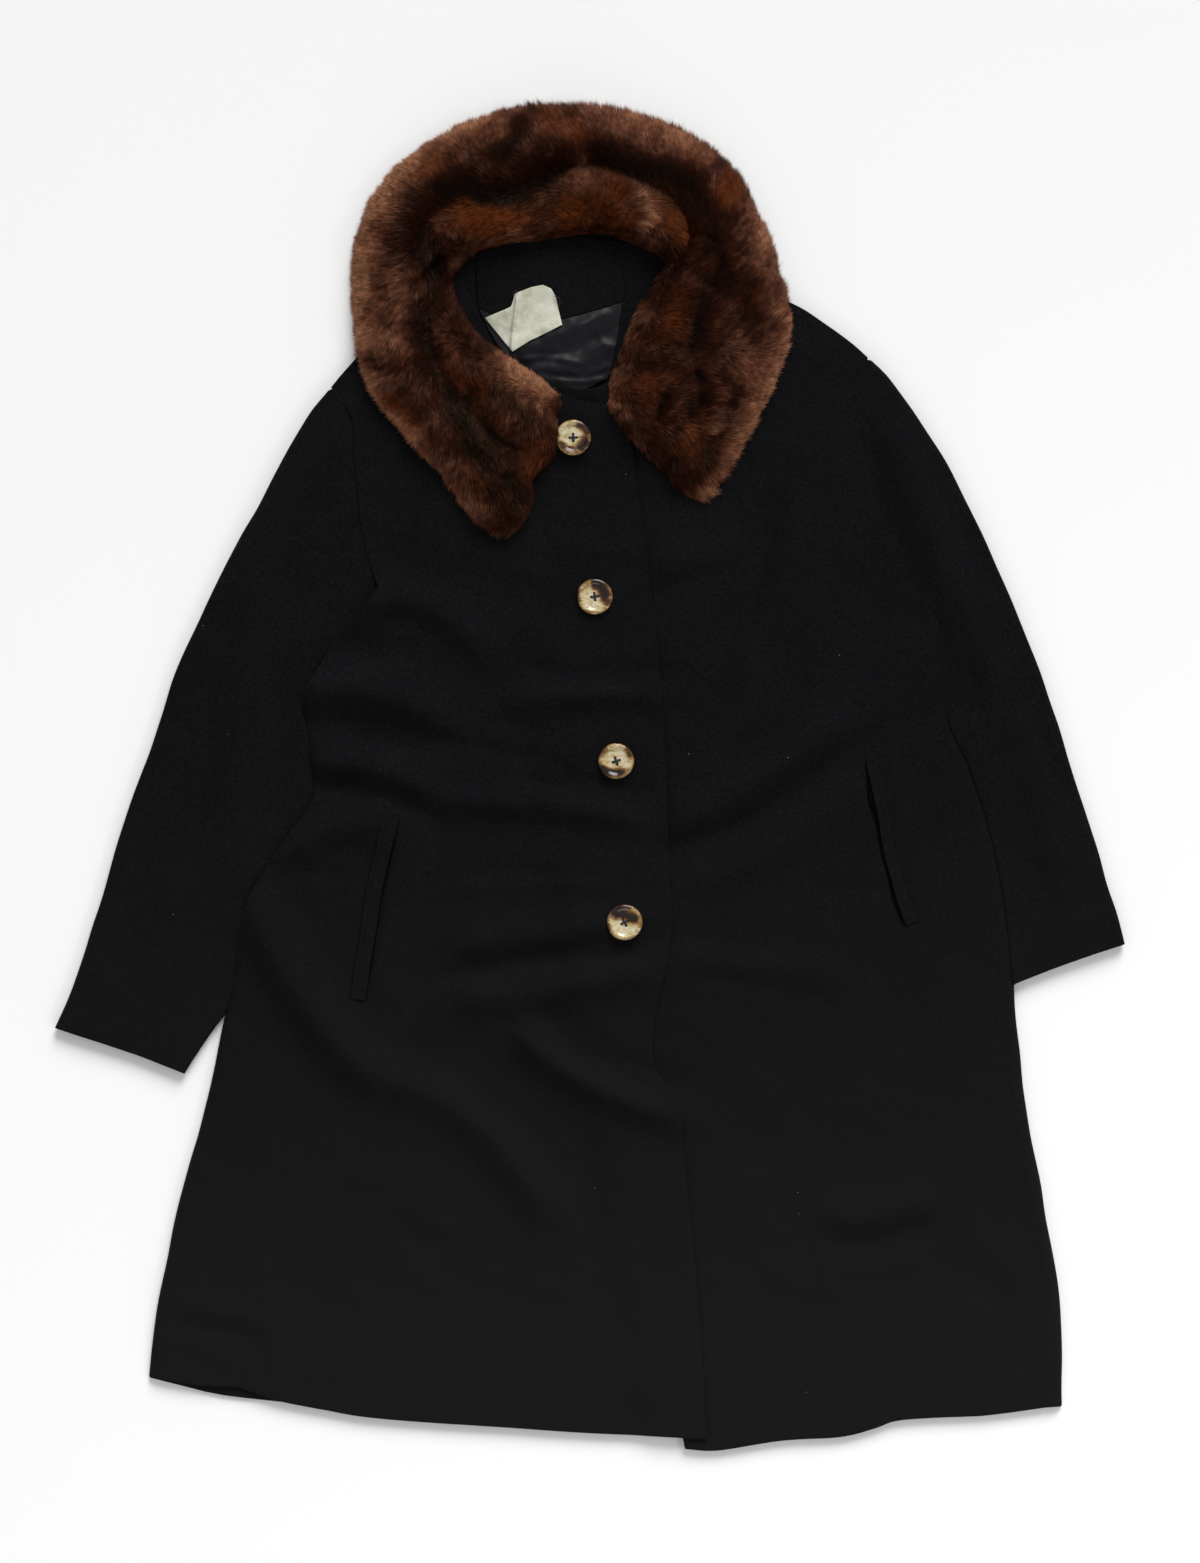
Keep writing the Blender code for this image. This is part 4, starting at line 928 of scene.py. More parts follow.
@cache
def sewing_thread():
    """Waxed black button thread: two fine plies with a faint shine."""
    made, add = blank_material("black_button_thread")
    place = add("ShaderNodeTexCoord")["Object"]
    plies = add("ShaderNodeTexWave", {"Vector": place, "Scale": 900.0, "Distortion": 1.0})
    tones = add("ShaderNodeValToRGB", {"Fac": plies["Fac"]}, [(0.2, "#0C0B0D"), (0.8, "#1D1B1E")])
    bump = add("ShaderNodeBump", {"Height": plies["Fac"], "Strength": 0.4, "Distance": 0.0002})
    return shaded(made, {"Base Color": tones[0], "Roughness": 0.55, "Normal": bump[0]})


@cache
def mink(name, roughness):
    """Mink: dense dark underfur with glossy guard hairs. Each hair carries its own colour, root to tip."""
    made, add = blank_material(name)
    colour = add("ShaderNodeAttribute", attribute_name="hair_colour")["Color"]
    place = add("ShaderNodeTexCoord")["Object"]
    # Hairs lie in locks about 5 mm wide, each a shade lighter or darker.
    locks = add("ShaderNodeTexNoise", {"Vector": place, "Scale": 210.0, "Detail": 2.0})
    shades = add("ShaderNodeValToRGB", {"Fac": locks["Fac"]}, [(0.3, "#B8ACA6"), (0.7, "#FFFFFF")])
    mixed = add("ShaderNodeMix", {0: 1.0, 6: colour, 7: shades[0]}, data_type="RGBA", blend_type="MULTIPLY")
    return shaded(made, {
        "Base Color": mixed[2], "Roughness": roughness, "Specular IOR Level": 0.16,
        "Specular Tint": linear("#E8B890"), "Sheen Weight": 0.03, "Sheen Roughness": 0.4,
        "Sheen Tint": linear("#A07858"),
    })


def pale_paper():
    """The floor's smooth pale paper, with a faint grain."""
    made, add = blank_material("pale_paper_floor")
    place = add("ShaderNodeTexCoord")["Object"]
    fibre = add("ShaderNodeTexNoise", {"Vector": place, "Scale": 900.0, "Detail": 2.0})
    bump = add("ShaderNodeBump", {"Height": fibre["Fac"], "Strength": 0.05, "Distance": 0.0002})
    return shaded(made, {
        "Base Color": (*settings().floor, 1), "Roughness": 0.9, "Specular IOR Level": 0.1, "Normal": bump[0],
    })


# ---- the fur


def collar_plan():
    """The collar in plan: u runs from the neck edge out, and v from the right end round to the left."""
    return patch(
        chain(smooth(COLLAR_RIGHT_END)), chain(smooth(COLLAR_LEFT_END)),
        through(COLLAR_NECK, by_length=False), through(COLLAR_OUTER, by_length=False),
    )


def collar_fullness(u, v, x, y, below):
    """How thick the collar is, as in the part's source, with the pelts' own ridges and valleys."""
    groove, lapel = (
        np.exp(-(((u - np.interp(v, *line)) / COLLAR_GROOVE_WIDTH) ** 2)) for line in (STAND_LINE, LAPEL_LINE)
    )
    groove *= ease((v - 0.29) / 0.05) * ease((0.735 - v) / 0.03)
    groove += LAPEL_GROOVE * lapel * ease(8 * v) * ease((0.33 - v) / 0.06)
    lumps = 1 + 0.07 * np.sin(31 * v + 4 * u) + 0.05 * np.sin(57 * v - 9 * u + 1)
    fill = COLLAR_FILL * np.maximum(0.0, COLLAR_SETTLE - below) * np.minimum(1.0, 4 * u * (1 - u) + 0.2)
    round_u, round_v = (
        np.sqrt(np.maximum(0.0, 1 - np.abs(2 * t - 1) ** fullness)) for t, fullness in ((u, 2.6), (v, 18))
    )
    streaks = fold_height(PELT_STREAKS, x, y)
    pelts = 1 + 0.2 * np.clip(streaks, -1, 1) + waves(x, y, *PELT_WAVES)
    return (COLLAR_THICK - FUR_RISE) * round_u * round_v * (1 - COLLAR_GROOVE * groove) * lumps * pelts + fill


class CollarBase:
    """The collar's skin as a table of places on its lower and its upper side, for setting hairs in it."""

    COLUMNS, ROWS = 44, 260
    LEAST_THICK = 0.8

    def __init__(self, below_tree):
        self.us, self.vs = in_steps(self.COLUMNS), in_steps(self.ROWS)
        u, v = (part.ravel() for part in np.meshgrid(self.us, self.vs))
        xy = collar_plan()(SKIN_ACROSS[0] + SKIN_ACROSS[1] * u, SKIN_ALONG[0] + SKIN_ALONG[1] * v)
        below = highest_under(below_tree, xy[:, 0], xy[:, 1], reach=9, spokes=6)
        below = self.evened(np.where(below > 0, below + 1.5 * SEAM, 0.0))
        full = collar_fullness(u, v, xy[:, 0], xy[:, 1], below)
        self.low = np.column_stack([xy, below])
        self.top = np.column_stack([xy, below + np.maximum(full, self.LEAST_THICK)])

    def evened(self, height, rounds=2):
        """Heights over the table, averaged with their neighbours but never lowered."""
        table = height.reshape(self.ROWS + 1, self.COLUMNS + 1)
        for _ in range(rounds):
            wide = np.pad(table, 1, mode="edge")
            mean = (wide[:-2, 1:-1] + wide[2:, 1:-1] + wide[1:-1, :-2] + wide[1:-1, 2:] + 4 * table) / 8
            table = np.maximum(table, mean)
        return table.ravel()

    def top_table(self):
        """The upper side's points, by row and column."""
        return self.top.reshape(self.ROWS + 1, self.COLUMNS + 1, 3)

    def at(self, column, row):
        """Points of the upper side between the table's own, for lists of columns and rows."""
        table = self.top_table()
        c = np.clip(column.astype(int), 0, self.COLUMNS - 1)
        r = np.clip(row.astype(int), 0, self.ROWS - 1)
        a, b = (column - c)[:, None], (row - r)[:, None]
        low = (1 - a) * table[r, c] + a * table[r, c + 1]
        high = (1 - a) * table[r + 1, c] + a * table[r + 1, c + 1]
        return (1 - b) * low + b * high


def unit(vectors):
    """Each vector at a length of 1."""
    return vectors / np.maximum(np.linalg.norm(vectors, axis=1), 1e-9)[:, None]


def pelt_colour(x, y, streak):
    """The mink's colour at points in plan, as linear RGB: from dark streaks to pale, with rusty places."""
    dark, mid, light, pale, rust = (np.array(linear(c)[:3]) for c in (*FUR_TONES, FUR_RUST))
    level = np.clip(streak, -1, 1)[:, None]
    base = np.where(level < 0, mid + (dark - mid) * -level, mid + (light - mid) * level)
    rusty = fold_height(RUSTY, x, y) + waves(x, y, *RUST_WAVES)
    rusty = np.clip(rusty, 0, 1)[:, None] * (1 - ease(-1.3 * level)) * (1 - 0.6 * ease(level))
    base = base + (rust - base) * rusty
    paler = np.clip(level - 0.75, 0, 1) * 1.6
    return base + (pale - base) * paler


def hair_heading(u, v, x, y):
    """Which way the hair lies: outwards over the fall of the collar, along it on the stand behind the neck.

    Gives the turn from straight out, in radians, and how near each hair is to the neck's edge, from 0 to 1.
    """
    behind = ease(8 * (v - 0.27)) * ease(8 * (0.76 - v))
    stand = behind * ease((0.50 - u) * 8)
    heading = (math.radians(HAIR_TURN) + hair_waves(x, y, "lie")) * (1 - 0.35 * ease((u - 0.7) * 4))
    heading += stand * math.radians(STAND_TURN) * np.tanh((x + 5) / 35)
    inner = ease((0.20 - u) * 6) * (1 - stand)
    return heading + inner * math.radians(NECK_TURN), inner


def drawn_together(rng, root, knee, tip):
    """Locks: the hairs draw together at their tips, each towards the leader that it stands nearest to."""
    count = len(root)
    leaders = rng.choice(count, count // HAIRS_A_LOCK, replace=False)
    near = KDTree(len(leaders))
    for k, leader in enumerate(leaders):
        near.insert(Vector(root[leader]), k)
    near.balance()
    own = leaders[[near.find(Vector(place))[1] for place in root]]
    drawn = rng.uniform(*LOCK_DRAW, count)[:, None]
    tip += drawn * (tip[own] - tip)
    knee += 0.4 * drawn * (knee[own] - knee)


def set_hairs(name, skin, count, shares, seed, length, width):
    """Hairs set in part of the collar's skin, as a joined mesh of narrow tapering blades.

    shares is the part of the collar's length that they cover, and length and width are in millimetres.
    """
    rng = np.random.default_rng(seed)
    rows = (int(shares[0] * skin.ROWS), int(shares[1] * skin.ROWS))
    corner = skin.top_table()[rows[0]:rows[1] + 1]
    across = corner[:-1, 1:] - corner[:-1, :-1]
    along = corner[1:, :-1] - corner[:-1, :-1]
    area = np.linalg.norm(np.cross(across, along), axis=2)
    # Each part of the skin gets hairs in proportion to its area.
    chance = (area / area.sum()).ravel()
    cell = rng.choice(len(chance), count, p=chance)
    row = rows[0] + cell // skin.COLUMNS + rng.random(count)
    column = cell % skin.COLUMNS + rng.random(count)
    root = skin.at(column, row)
    before, after = np.maximum(column - 0.5, 0), np.minimum(column + 0.5, skin.COLUMNS)
    out = unit(skin.at(after, row) - skin.at(before, row))
    before, after = np.maximum(row - 0.5, 0), np.minimum(row + 0.5, skin.ROWS)
    on = unit(skin.at(column, after) - skin.at(column, before))
    normal = unit(np.cross(on, out))
    normal[normal[:, 2] < 0] *= -1
    u, v = column / skin.COLUMNS, row / skin.ROWS
    x, y = root[:, 0], root[:, 1]

    heading, inner = hair_heading(u, v, x, y)
    heading += hair_waves(x, y, "locks") + rng.normal(0, math.radians(TURN_SPREAD), count)
    ends = np.where(v < 0.5, -1.0, 1.0) * (1 - ease(np.minimum(v, 1 - v) / 0.05))
    lie = unit(np.cos(heading)[:, None] * out + (np.sin(heading) + 0.9 * ends)[:, None] * on)

    long = length * rng.uniform(*LENGTH_SPREAD, count) * (1 - 0.25 * inner) * (1 + 0.2 * ease((u - 0.85) * 8))
    long *= 1 + hair_waves(x, y, "length")
    long[rng.random(count) < WISPS[0]] *= WISPS[1]
    leaving, lying = HAIR_ANGLES
    lift = np.radians(leaving + rng.normal(0, ANGLE_SPREADS[0], count) + hair_waves(x, y, "lift"))
    droop = np.radians(lying + rng.normal(0, ANGLE_SPREADS[1], count))
    first, last = (np.cos(a)[:, None] * lie + np.sin(a)[:, None] * normal for a in (lift, droop))
    knee = root + first * (0.45 * long)[:, None]
    tip = knee + last * (0.55 * long)[:, None]
    drawn_together(rng, root, knee, tip)
    side = unit(np.cross(lie, normal))
    roll = rng.normal(0, math.radians(ROLL_SPREAD), count)
    side = unit(np.cos(roll)[:, None] * side + np.sin(roll)[:, None] * normal)

    half = width / 2 * rng.uniform(*WIDTH_SPREAD, count)[:, None] * side
    middle = 0.25 * root + 0.5 * knee + 0.25 * tip
    points = np.stack([root - half, root + half, middle - 0.8 * half, middle + 0.8 * half, tip], axis=1)
    points[:, :, 2] = np.maximum(points[:, :, 2], 0.3 + 0.5 * rng.random((count, 1)))
    guards = int(count * GUARD_SHARE)
    fine = points[guards:, [0, 1, 4]]
    fine[:, 2] = fine[:, :2].mean(axis=1) + FINE_LENGTH * (fine[:, 2] - fine[:, :2].mean(axis=1))

    # Colour: the pelt's streaks, paler towards the rim. Hairs differ a little, and are palest at the tip.
    streak = fold_height(PELT_STREAKS, x, y) + hair_waves(x, y, "tone") + hair_waves(x, y, "fine tone")
    streak += 0.4 * ease((u - 0.72) / 0.25)
    base = pelt_colour(x, y, streak)
    shade = np.exp(rng.normal(0, HAIR_SPREAD, count))[:, None]
    at_root, at_knee, at_tip = (base * tone * shade for tone in HAIR_TONES)
    colours = np.ones((count, 5, 4), np.float32)
    for k, tone in enumerate((at_root, at_root, at_knee, at_knee, at_tip)):
        colours[:, k, :3] = np.clip(tone, 0, 1)
    start = (np.arange(guards) * 5)[:, None]
    fine_start = guards * 5 + (np.arange(count - guards) * 3)[:, None]
    return blades(
        name, np.concatenate([points[:guards].reshape(-1, 3), fine.reshape(-1, 3)]) * MM,
        start + [0, 1, 3, 2], np.concatenate([start + [2, 3, 4], fine_start + [0, 1, 2]]),
        np.concatenate([colours[:guards].reshape(-1, 4), colours[guards:, [0, 1, 4]].reshape(-1, 4)]),
    )


def hair_waves(x, y, name):
    """One of the hair's own waves. Its seed is the same number for the same name on every run."""
    size, *lengths = HAIR_WAVES[name]
    return waves(x, y, size, sum(ord(letter) * (k + 7) for k, letter in enumerate(name)), *lengths)


def blades(name, points, quads, triangles, colours):
    """A mesh of many small blades with a colour at each point."""
    mesh = bpy.data.meshes.new(name)
    mesh.vertices.add(len(points))
    mesh.vertices.foreach_set("co", points.astype(np.float32).ravel())
    loops = np.concatenate([quads.ravel(), triangles.ravel()]).astype(np.int32)
    mesh.loops.add(len(loops))
    mesh.loops.foreach_set("vertex_index", loops)
    starts = np.concatenate([
        np.arange(len(quads)) * 4, len(quads) * 4 + np.arange(len(triangles)) * 3,
    ]).astype(np.int32)
    mesh.polygons.add(len(starts))
    mesh.polygons.foreach_set("loop_start", starts)
    mesh.polygons.foreach_set("use_smooth", np.ones(len(starts), bool))
    mesh.update(calc_edges=True)
    store_colours(mesh, colours)
    mesh.validate()
    obj = bpy.data.objects.new(name, mesh)
    bpy.context.scene.collection.objects.link(obj)
    return obj


# ---- sizes and colours that a user would change


class CoatSettings(bpy.types.PropertyGroup):
    """Sizes of the cloth, the fur and the buttons."""

    rim: bpy.props.FloatProperty(
        name="Rounded rim", description="How far the cut edge of the wool is rounded", default=0.001,
        min=0.0002, max=0.0014, unit="LENGTH",
    )
    hairs: bpy.props.IntProperty(
        name="Hairs", description="Number of hair blades in each quarter of the collar", default=97000,
        min=1000, max=130000,
    )
    hair_length: bpy.props.FloatProperty(
        name="Hair length", description="Length of the guard hairs", default=0.0128, min=0.005, max=0.03,
        unit="LENGTH",
    )
    hair_width: bpy.props.FloatProperty(
        name="Hair width", description="Width of one blade, which stands for a small lock of hairs",
        default=0.00048, min=0.0002, max=0.002, unit="LENGTH",
    )
    thread: bpy.props.FloatProperty(
        name="Thread", description="Diameter of the button thread", default=0.0011, min=0.0004, max=0.002,
        unit="LENGTH",
    )
    floor: bpy.props.FloatVectorProperty(
        name="Floor colour", description="Colour of the pale floor", default=(0.93, 0.93, 0.93), size=3,
        subtype="COLOR", min=0, max=1,
    )


def settings():
    """The coat's settings in this scene."""
    return bpy.context.scene.coat_settings


def piece(name):
    """A finished piece, which an earlier operator made."""
    found = bpy.data.objects.get(name)
    if found is None:
        raise RuntimeError(f"{name} comes first")
    return found


# ---- operators, in the order in which the coat is put together


class COAT_OT_stage(bpy.types.Operator):
    """Adds the pale floor, the soft studio light and the camera over the coat"""

    bl_idname = "coat.stage"
    bl_label = "Stage"

    def execute(self, context):
        scene = context.scene
        deselect()
        bpy.ops.mesh.primitive_plane_add(size=40, location=(0, 0, FLOOR_HEIGHT))
        floor = named("studio_floor")
        floor.data.materials.append(pale_paper())

        world = bpy.data.worlds.new("soft_studio")
        world.use_nodes = True
        sky = world.node_tree.nodes["Background"]
        set_inputs(world.node_tree, sky, {"Color": (1, 1, 1, 1), "Strength": WORLD_LIGHT})
        scene.world = world
        bpy.ops.object.light_add(type="SUN", location=(0, 1.5, 2.0))
        window = named("tall_window")
        window.data.energy, window.data.angle = WINDOW_LIGHT, math.radians(WINDOW_WIDTH)
        window.rotation_euler = Vector(WINDOW_FROM).to_track_quat("Z", "Y").to_euler()
        for name, size, power, place in SOFTBOXES:
            bpy.ops.object.light_add(type="AREA", location=place)
            light = named(name)
            light.data.shape = "RECTANGLE"
            light.data.size, light.data.size_y = size
            light.data.energy = power
            light.rotation_euler = Vector(place).to_track_quat("Z", "Y").to_euler()

        bpy.ops.object.camera_add(location=(VIEW_CENTRE[0] * MM, VIEW_CENTRE[1] * MM, CAMERA_HEIGHT))
        camera = named("camera")
        camera.rotation_euler = (0, 0, 0)
        camera.data.sensor_width = 36
        tall = PHOTO_SIZE[1] * MM_PER_PIXEL * MM
        camera.data.lens = camera.data.sensor_width * (CAMERA_HEIGHT - CLOTH_HEIGHT) / tall
        camera.data.clip_start, camera.data.clip_end = 0.05, 50
        camera.data.dof.use_dof = False
        scene.camera = camera
        scene.view_settings.view_transform = "Standard"
        scene.view_settings.look = "None"
        return {"FINISHED"}


class COAT_OT_back(bpy.types.Operator):
    """Cuts the back, flat underneath, with the edges that come round to the side seams on top"""

    bl_idname = "coat.back"
    bl_label = "Back"

    def execute(self, context):
        right_side, left_side = through(RIGHT_SIDE), through(LEFT_SIDE)
        back = laid_cloth(
            "wool_back",
            patch(
                chain(smooth(BACK_HEM)), shoulder_line,
                chain(stretch(right_side, sideways=-BACK_MARGIN), smooth(RIGHT_ARMHOLE)),
                chain(stretch(left_side, sideways=BACK_MARGIN), smooth(LEFT_ARMHOLE)),
            ),
            *map(in_steps, BACK_STEPS), flat_at(0), WOOL, settings().rim / MM,
        )
        strips = []
        for name, side, turn in (("right_turn", right_side, RIGHT_TURN), ("left_turn", left_side, LEFT_TURN)):
            strips.append(turned_strip(name, side, turn, chain(seam_beside(side, turn))))
        join(back, strips)
        finish_piece(back, wool_melton(), "wool", "back")
        return {"FINISHED"}


def seam_beside(side, turn, gap=0.0, samples=80):
    """The side seam on top of the coat, in from the turned edge, and gap further in for the front's edge.

    Near the underarm a front reaches out to the edge itself, over the end of the turned part.
    """
    at = np.linspace(0, 1, samples)
    widths = np.interp(at, np.linspace(0, 1, len(turn)), turn) + gap
    if gap:
        widths *= 1 - ease((at - 0.80) / 0.12)
    return stretch(side, 0, 1, np.sign(side(0.0)[0]) * widths, samples)


def sagging(start, end):
    """A hem between two points, hanging a little below the straight line like the back's own hem."""
    start, end = np.array([start, end], float)
    middle = (start + end) / 2 - (0, HEM_SAG * np.linalg.norm(end - start))
    return chain(smooth([start, middle, end]))


def turned_strip(name, side, turn, seam_curve):
    """The part of the back that comes round the side edge, in columns from the edge to the side seam."""
    end = SEAM_TOP * (SEAM_ROWS - 1) / SEAM_ROWS
    edge, seam = (chain(stretch(curve, TURN_START, end, samples=240)) for curve in (side, seam_curve))
    spread = patch(sagging(edge(0.0), seam(0.0)), straight(edge(1.0), seam(1.0)), edge, seam)
    columns = np.arange(len(EDGE_STOPS) + TURN_COLUMNS, dtype=float)

    def width(v):
        return np.maximum(EDGE_ROLL, np.interp(v * end, np.linspace(0, 1, len(turn)), turn))

    def from_edge(column, v):
        inner = width(v)
        past = (column - len(EDGE_STOPS) + 1) / TURN_COLUMNS
        outer = np.interp(column, np.arange(len(EDGE_STOPS)), EDGE_STOPS)
        return np.where(past > 0, EDGE_STOPS[-1] + (inner - EDGE_STOPS[-1]) * np.clip(past, 0, 1), outer)

    def place(column, v):
        return spread(from_edge(column, v) / width(v), v)

    def over(x, y, column, v):
        rounding = np.sqrt(1 - (1 - np.minimum(1.0, from_edge(column, v) / EDGE_ROLL)) ** 2)
        full = front_under(x, y, front_lift(x, y)) + WOOL
        return EDGE_BLUNT + (full - EDGE_BLUNT) * rounding

    def under(x, y, column, v):
        lifted = ease((from_edge(column, v) - TURN_OVERLAP) / (EDGE_ROLL - TURN_OVERLAP - 1))
        return TURN_CLEAR + lifted * np.maximum(0.0, over(x, y, column, v) - WOOL - TURN_CLEAR)

    def thick(x, y, column, v):
        return over(x, y, column, v) - under(x, y, column, v)

    return laid_cloth(name, place, columns, in_steps((SEAM_ROWS - 1) * FINER), under, thick, TURN_RIM)


def outer_edge(seam, armhole):
    """A front's outer edge: up the side seam, across to the underarm and up the armhole."""
    seam_part = chain(stretch(chain(seam), 0, SEAM_TOP))
    return joined(seam_part, through(armhole), SEAM_ROWS / FRONT_ROWS, (SEAM_ROWS + 1) / FRONT_ROWS)


class COAT_OT_fronts(bpy.types.Operator):
    """Lays the left front on the back and the right front over it, with their folds and creases"""

    bl_idname = "coat.fronts"
    bl_label = "Fronts"

    def execute(self, context):
        rim = settings().rim / MM
        left_joined = seam_beside(through(LEFT_SIDE), LEFT_TURN, SEAM_OVERLAP)
        left = laid_cloth(
            "wool_front_left",
            patch(
                chain(smooth(LEFT_HEM), [LEFT_HEM[-1], left_joined[0]]),
                chain(smooth(LEFT_NECK), smooth(LEFT_SHOULDER[::-1])),
                chain(smooth(LEFT_FRONT_EDGE)), outer_edge(left_joined, LEFT_ARMHOLE),
            ),
            in_steps(FRONT_COLUMNS), in_steps(FRONT_ROWS * FINER), left_under, WOOL, rim,
        )
        right_joined = seam_beside(through(RIGHT_SIDE), RIGHT_TURN, SEAM_OVERLAP)
        right = laid_cloth(
            "wool_front_right",
            patch(
                chain(sagging(right_joined[0], RIGHT_HEM[0])(in_steps(12)), smooth(RIGHT_HEM)),
                chain(smooth(RIGHT_SHOULDER), smooth(RIGHT_NECK)),
                outer_edge(right_joined, RIGHT_ARMHOLE), chain(smooth(RIGHT_FRONT_EDGE)),
            ),
            in_steps(FRONT_COLUMNS), in_steps(FRONT_ROWS * FINER), right_under(tree_of(left)), WOOL, rim,
        )
        finish_piece(left, wool_melton(), "wool", "front_left")
        finish_piece(right, wool_melton(), "wool", "front_right")
        return {"FINISHED"}


def sleeve_patch(cuff, outer, tail, side, armhole):
    """A sleeve in plan, from the cuff up, between its outer edge and the edge along the body."""
    underarm = SLEEVE_ROWS_BELOW / SLEEVE_ROWS
    inner = joined(chain(smooth(tail[::-1]), side), chain(armhole), underarm, underarm)
    return patch(chain(smooth(cuff)), chain([outer[0], inner(1.0)]), chain(smooth(outer[::-1])), inner)


def sleeve(name, place, folds):
    """A sleeve as an open flattened tube: a grid wound into a ring, given its wall with Solidify."""
    radius = SLEEVE_WOOL + AIR / 2
    arc = np.linspace(0, math.pi, 13)
    inset_at, height_at = radius * (1 - np.sin(arc)), radius * (1 - np.cos(arc))
    takes = np.concatenate([np.zeros(6), np.linspace(0.1, 0.6, 7)])
    # Round the ring: one edge, over the top, the other edge, back underneath, and the start again. Each part
    # has its kind, how far across it lies, its height and how much of the folds it takes.
    parts = (
        (0, inset_at, height_at, takes),
        (1, np.linspace(0, 1, 31)[1:-1], 2 * radius, 1.0),
        (2, inset_at[::-1], height_at[::-1], takes[::-1]),
        (1, np.linspace(1, 0, 9)[1:-1], 0.0, 0.0),
        (0, inset_at[:1], height_at[:1], takes[:1]),
    )
    kind, where, height, fold = (
        np.concatenate(column) for column in zip(*(np.broadcast_arrays(*part) for part in parts))
    )
    obj, ring, v = grid(name, np.arange(len(kind), dtype=float), in_steps(SLEEVE_ROWS * FINER))
    k = ring.astype(int)
    width = np.linalg.norm(place(np.ones(len(v)), v) - place(np.zeros(len(v)), v), axis=1)
    inset = np.minimum(radius / width, 0.42)
    rounded = where[k] / radius * inset
    u = np.choose(kind[k], [rounded, inset + (1 - 2 * inset) * where[k], 1 - rounded])
    xy = place(u, v)
    lifted = np.maximum(DEEPEST_TROUGH, fold_height(folds, xy[:, 0], xy[:, 1]))
    lifted += waves(xy[:, 0], xy[:, 1], *SLEEVE_WAVES[name])
    put_points(obj, np.column_stack([uneven(xy), height[k] + fold[k] * lifted]) * MM)
    start, end = place(np.array([0.0, 1.0]), np.array([0.5, 0.5]))[:, 0]
    edit_whole(
        partial(bpy.ops.mesh.remove_doubles, threshold=1e-6),
        *([bpy.ops.mesh.flip_normals] if end < start else []),
    )
    apply_modifier(obj, "SOLIDIFY", thickness=SLEEVE_WOOL * MM, offset=-1)
    rounded_rims(obj, SLEEVE_RIM)
    return smoothed(obj)


class COAT_OT_sleeves(bpy.types.Operator):
    """Lays the two sleeves beside the body, each an open tube from the cuff to the armhole"""

    bl_idname = "coat.sleeves"
    bl_label = "Sleeves"

    def execute(self, context):
        right_side, left_side = through(RIGHT_SIDE), through(LEFT_SIDE)
        plans = {
            "wool_sleeve_right": (sleeve_patch(
                RIGHT_CUFF, RIGHT_SLEEVE_OUTER, RIGHT_SLEEVE_TAIL,
                stretch(right_side, RIGHT_SLEEVE_LEAVES, 1, SIDE_GAP),
                stretch(through(RIGHT_ARMHOLE), 0, RIGHT_SLEEVE_TOP, SLEEVE_GAP),
            ), RIGHT_SLEEVE_FOLDS, "sleeve_right", (0.34, 0.60), 0.15),
            "wool_sleeve_left": (sleeve_patch(
                LEFT_CUFF, LEFT_SLEEVE_OUTER, LEFT_SLEEVE_TAIL,
                stretch(left_side, LEFT_SLEEVE_LEAVES, 1, -SIDE_GAP),
                stretch(through(LEFT_ARMHOLE), 0, LEFT_SLEEVE_TOP, -SLEEVE_GAP),
            ), LEFT_SLEEVE_FOLDS, "sleeve_left", (0.26, 0.55), 0.08),
        }
        for name, (plan, folds, node, flat, area) in plans.items():
            made = sleeve(name, plan, folds)
            finish_piece(made, wool_melton(), "wool", node)
        return {"FINISHED"}


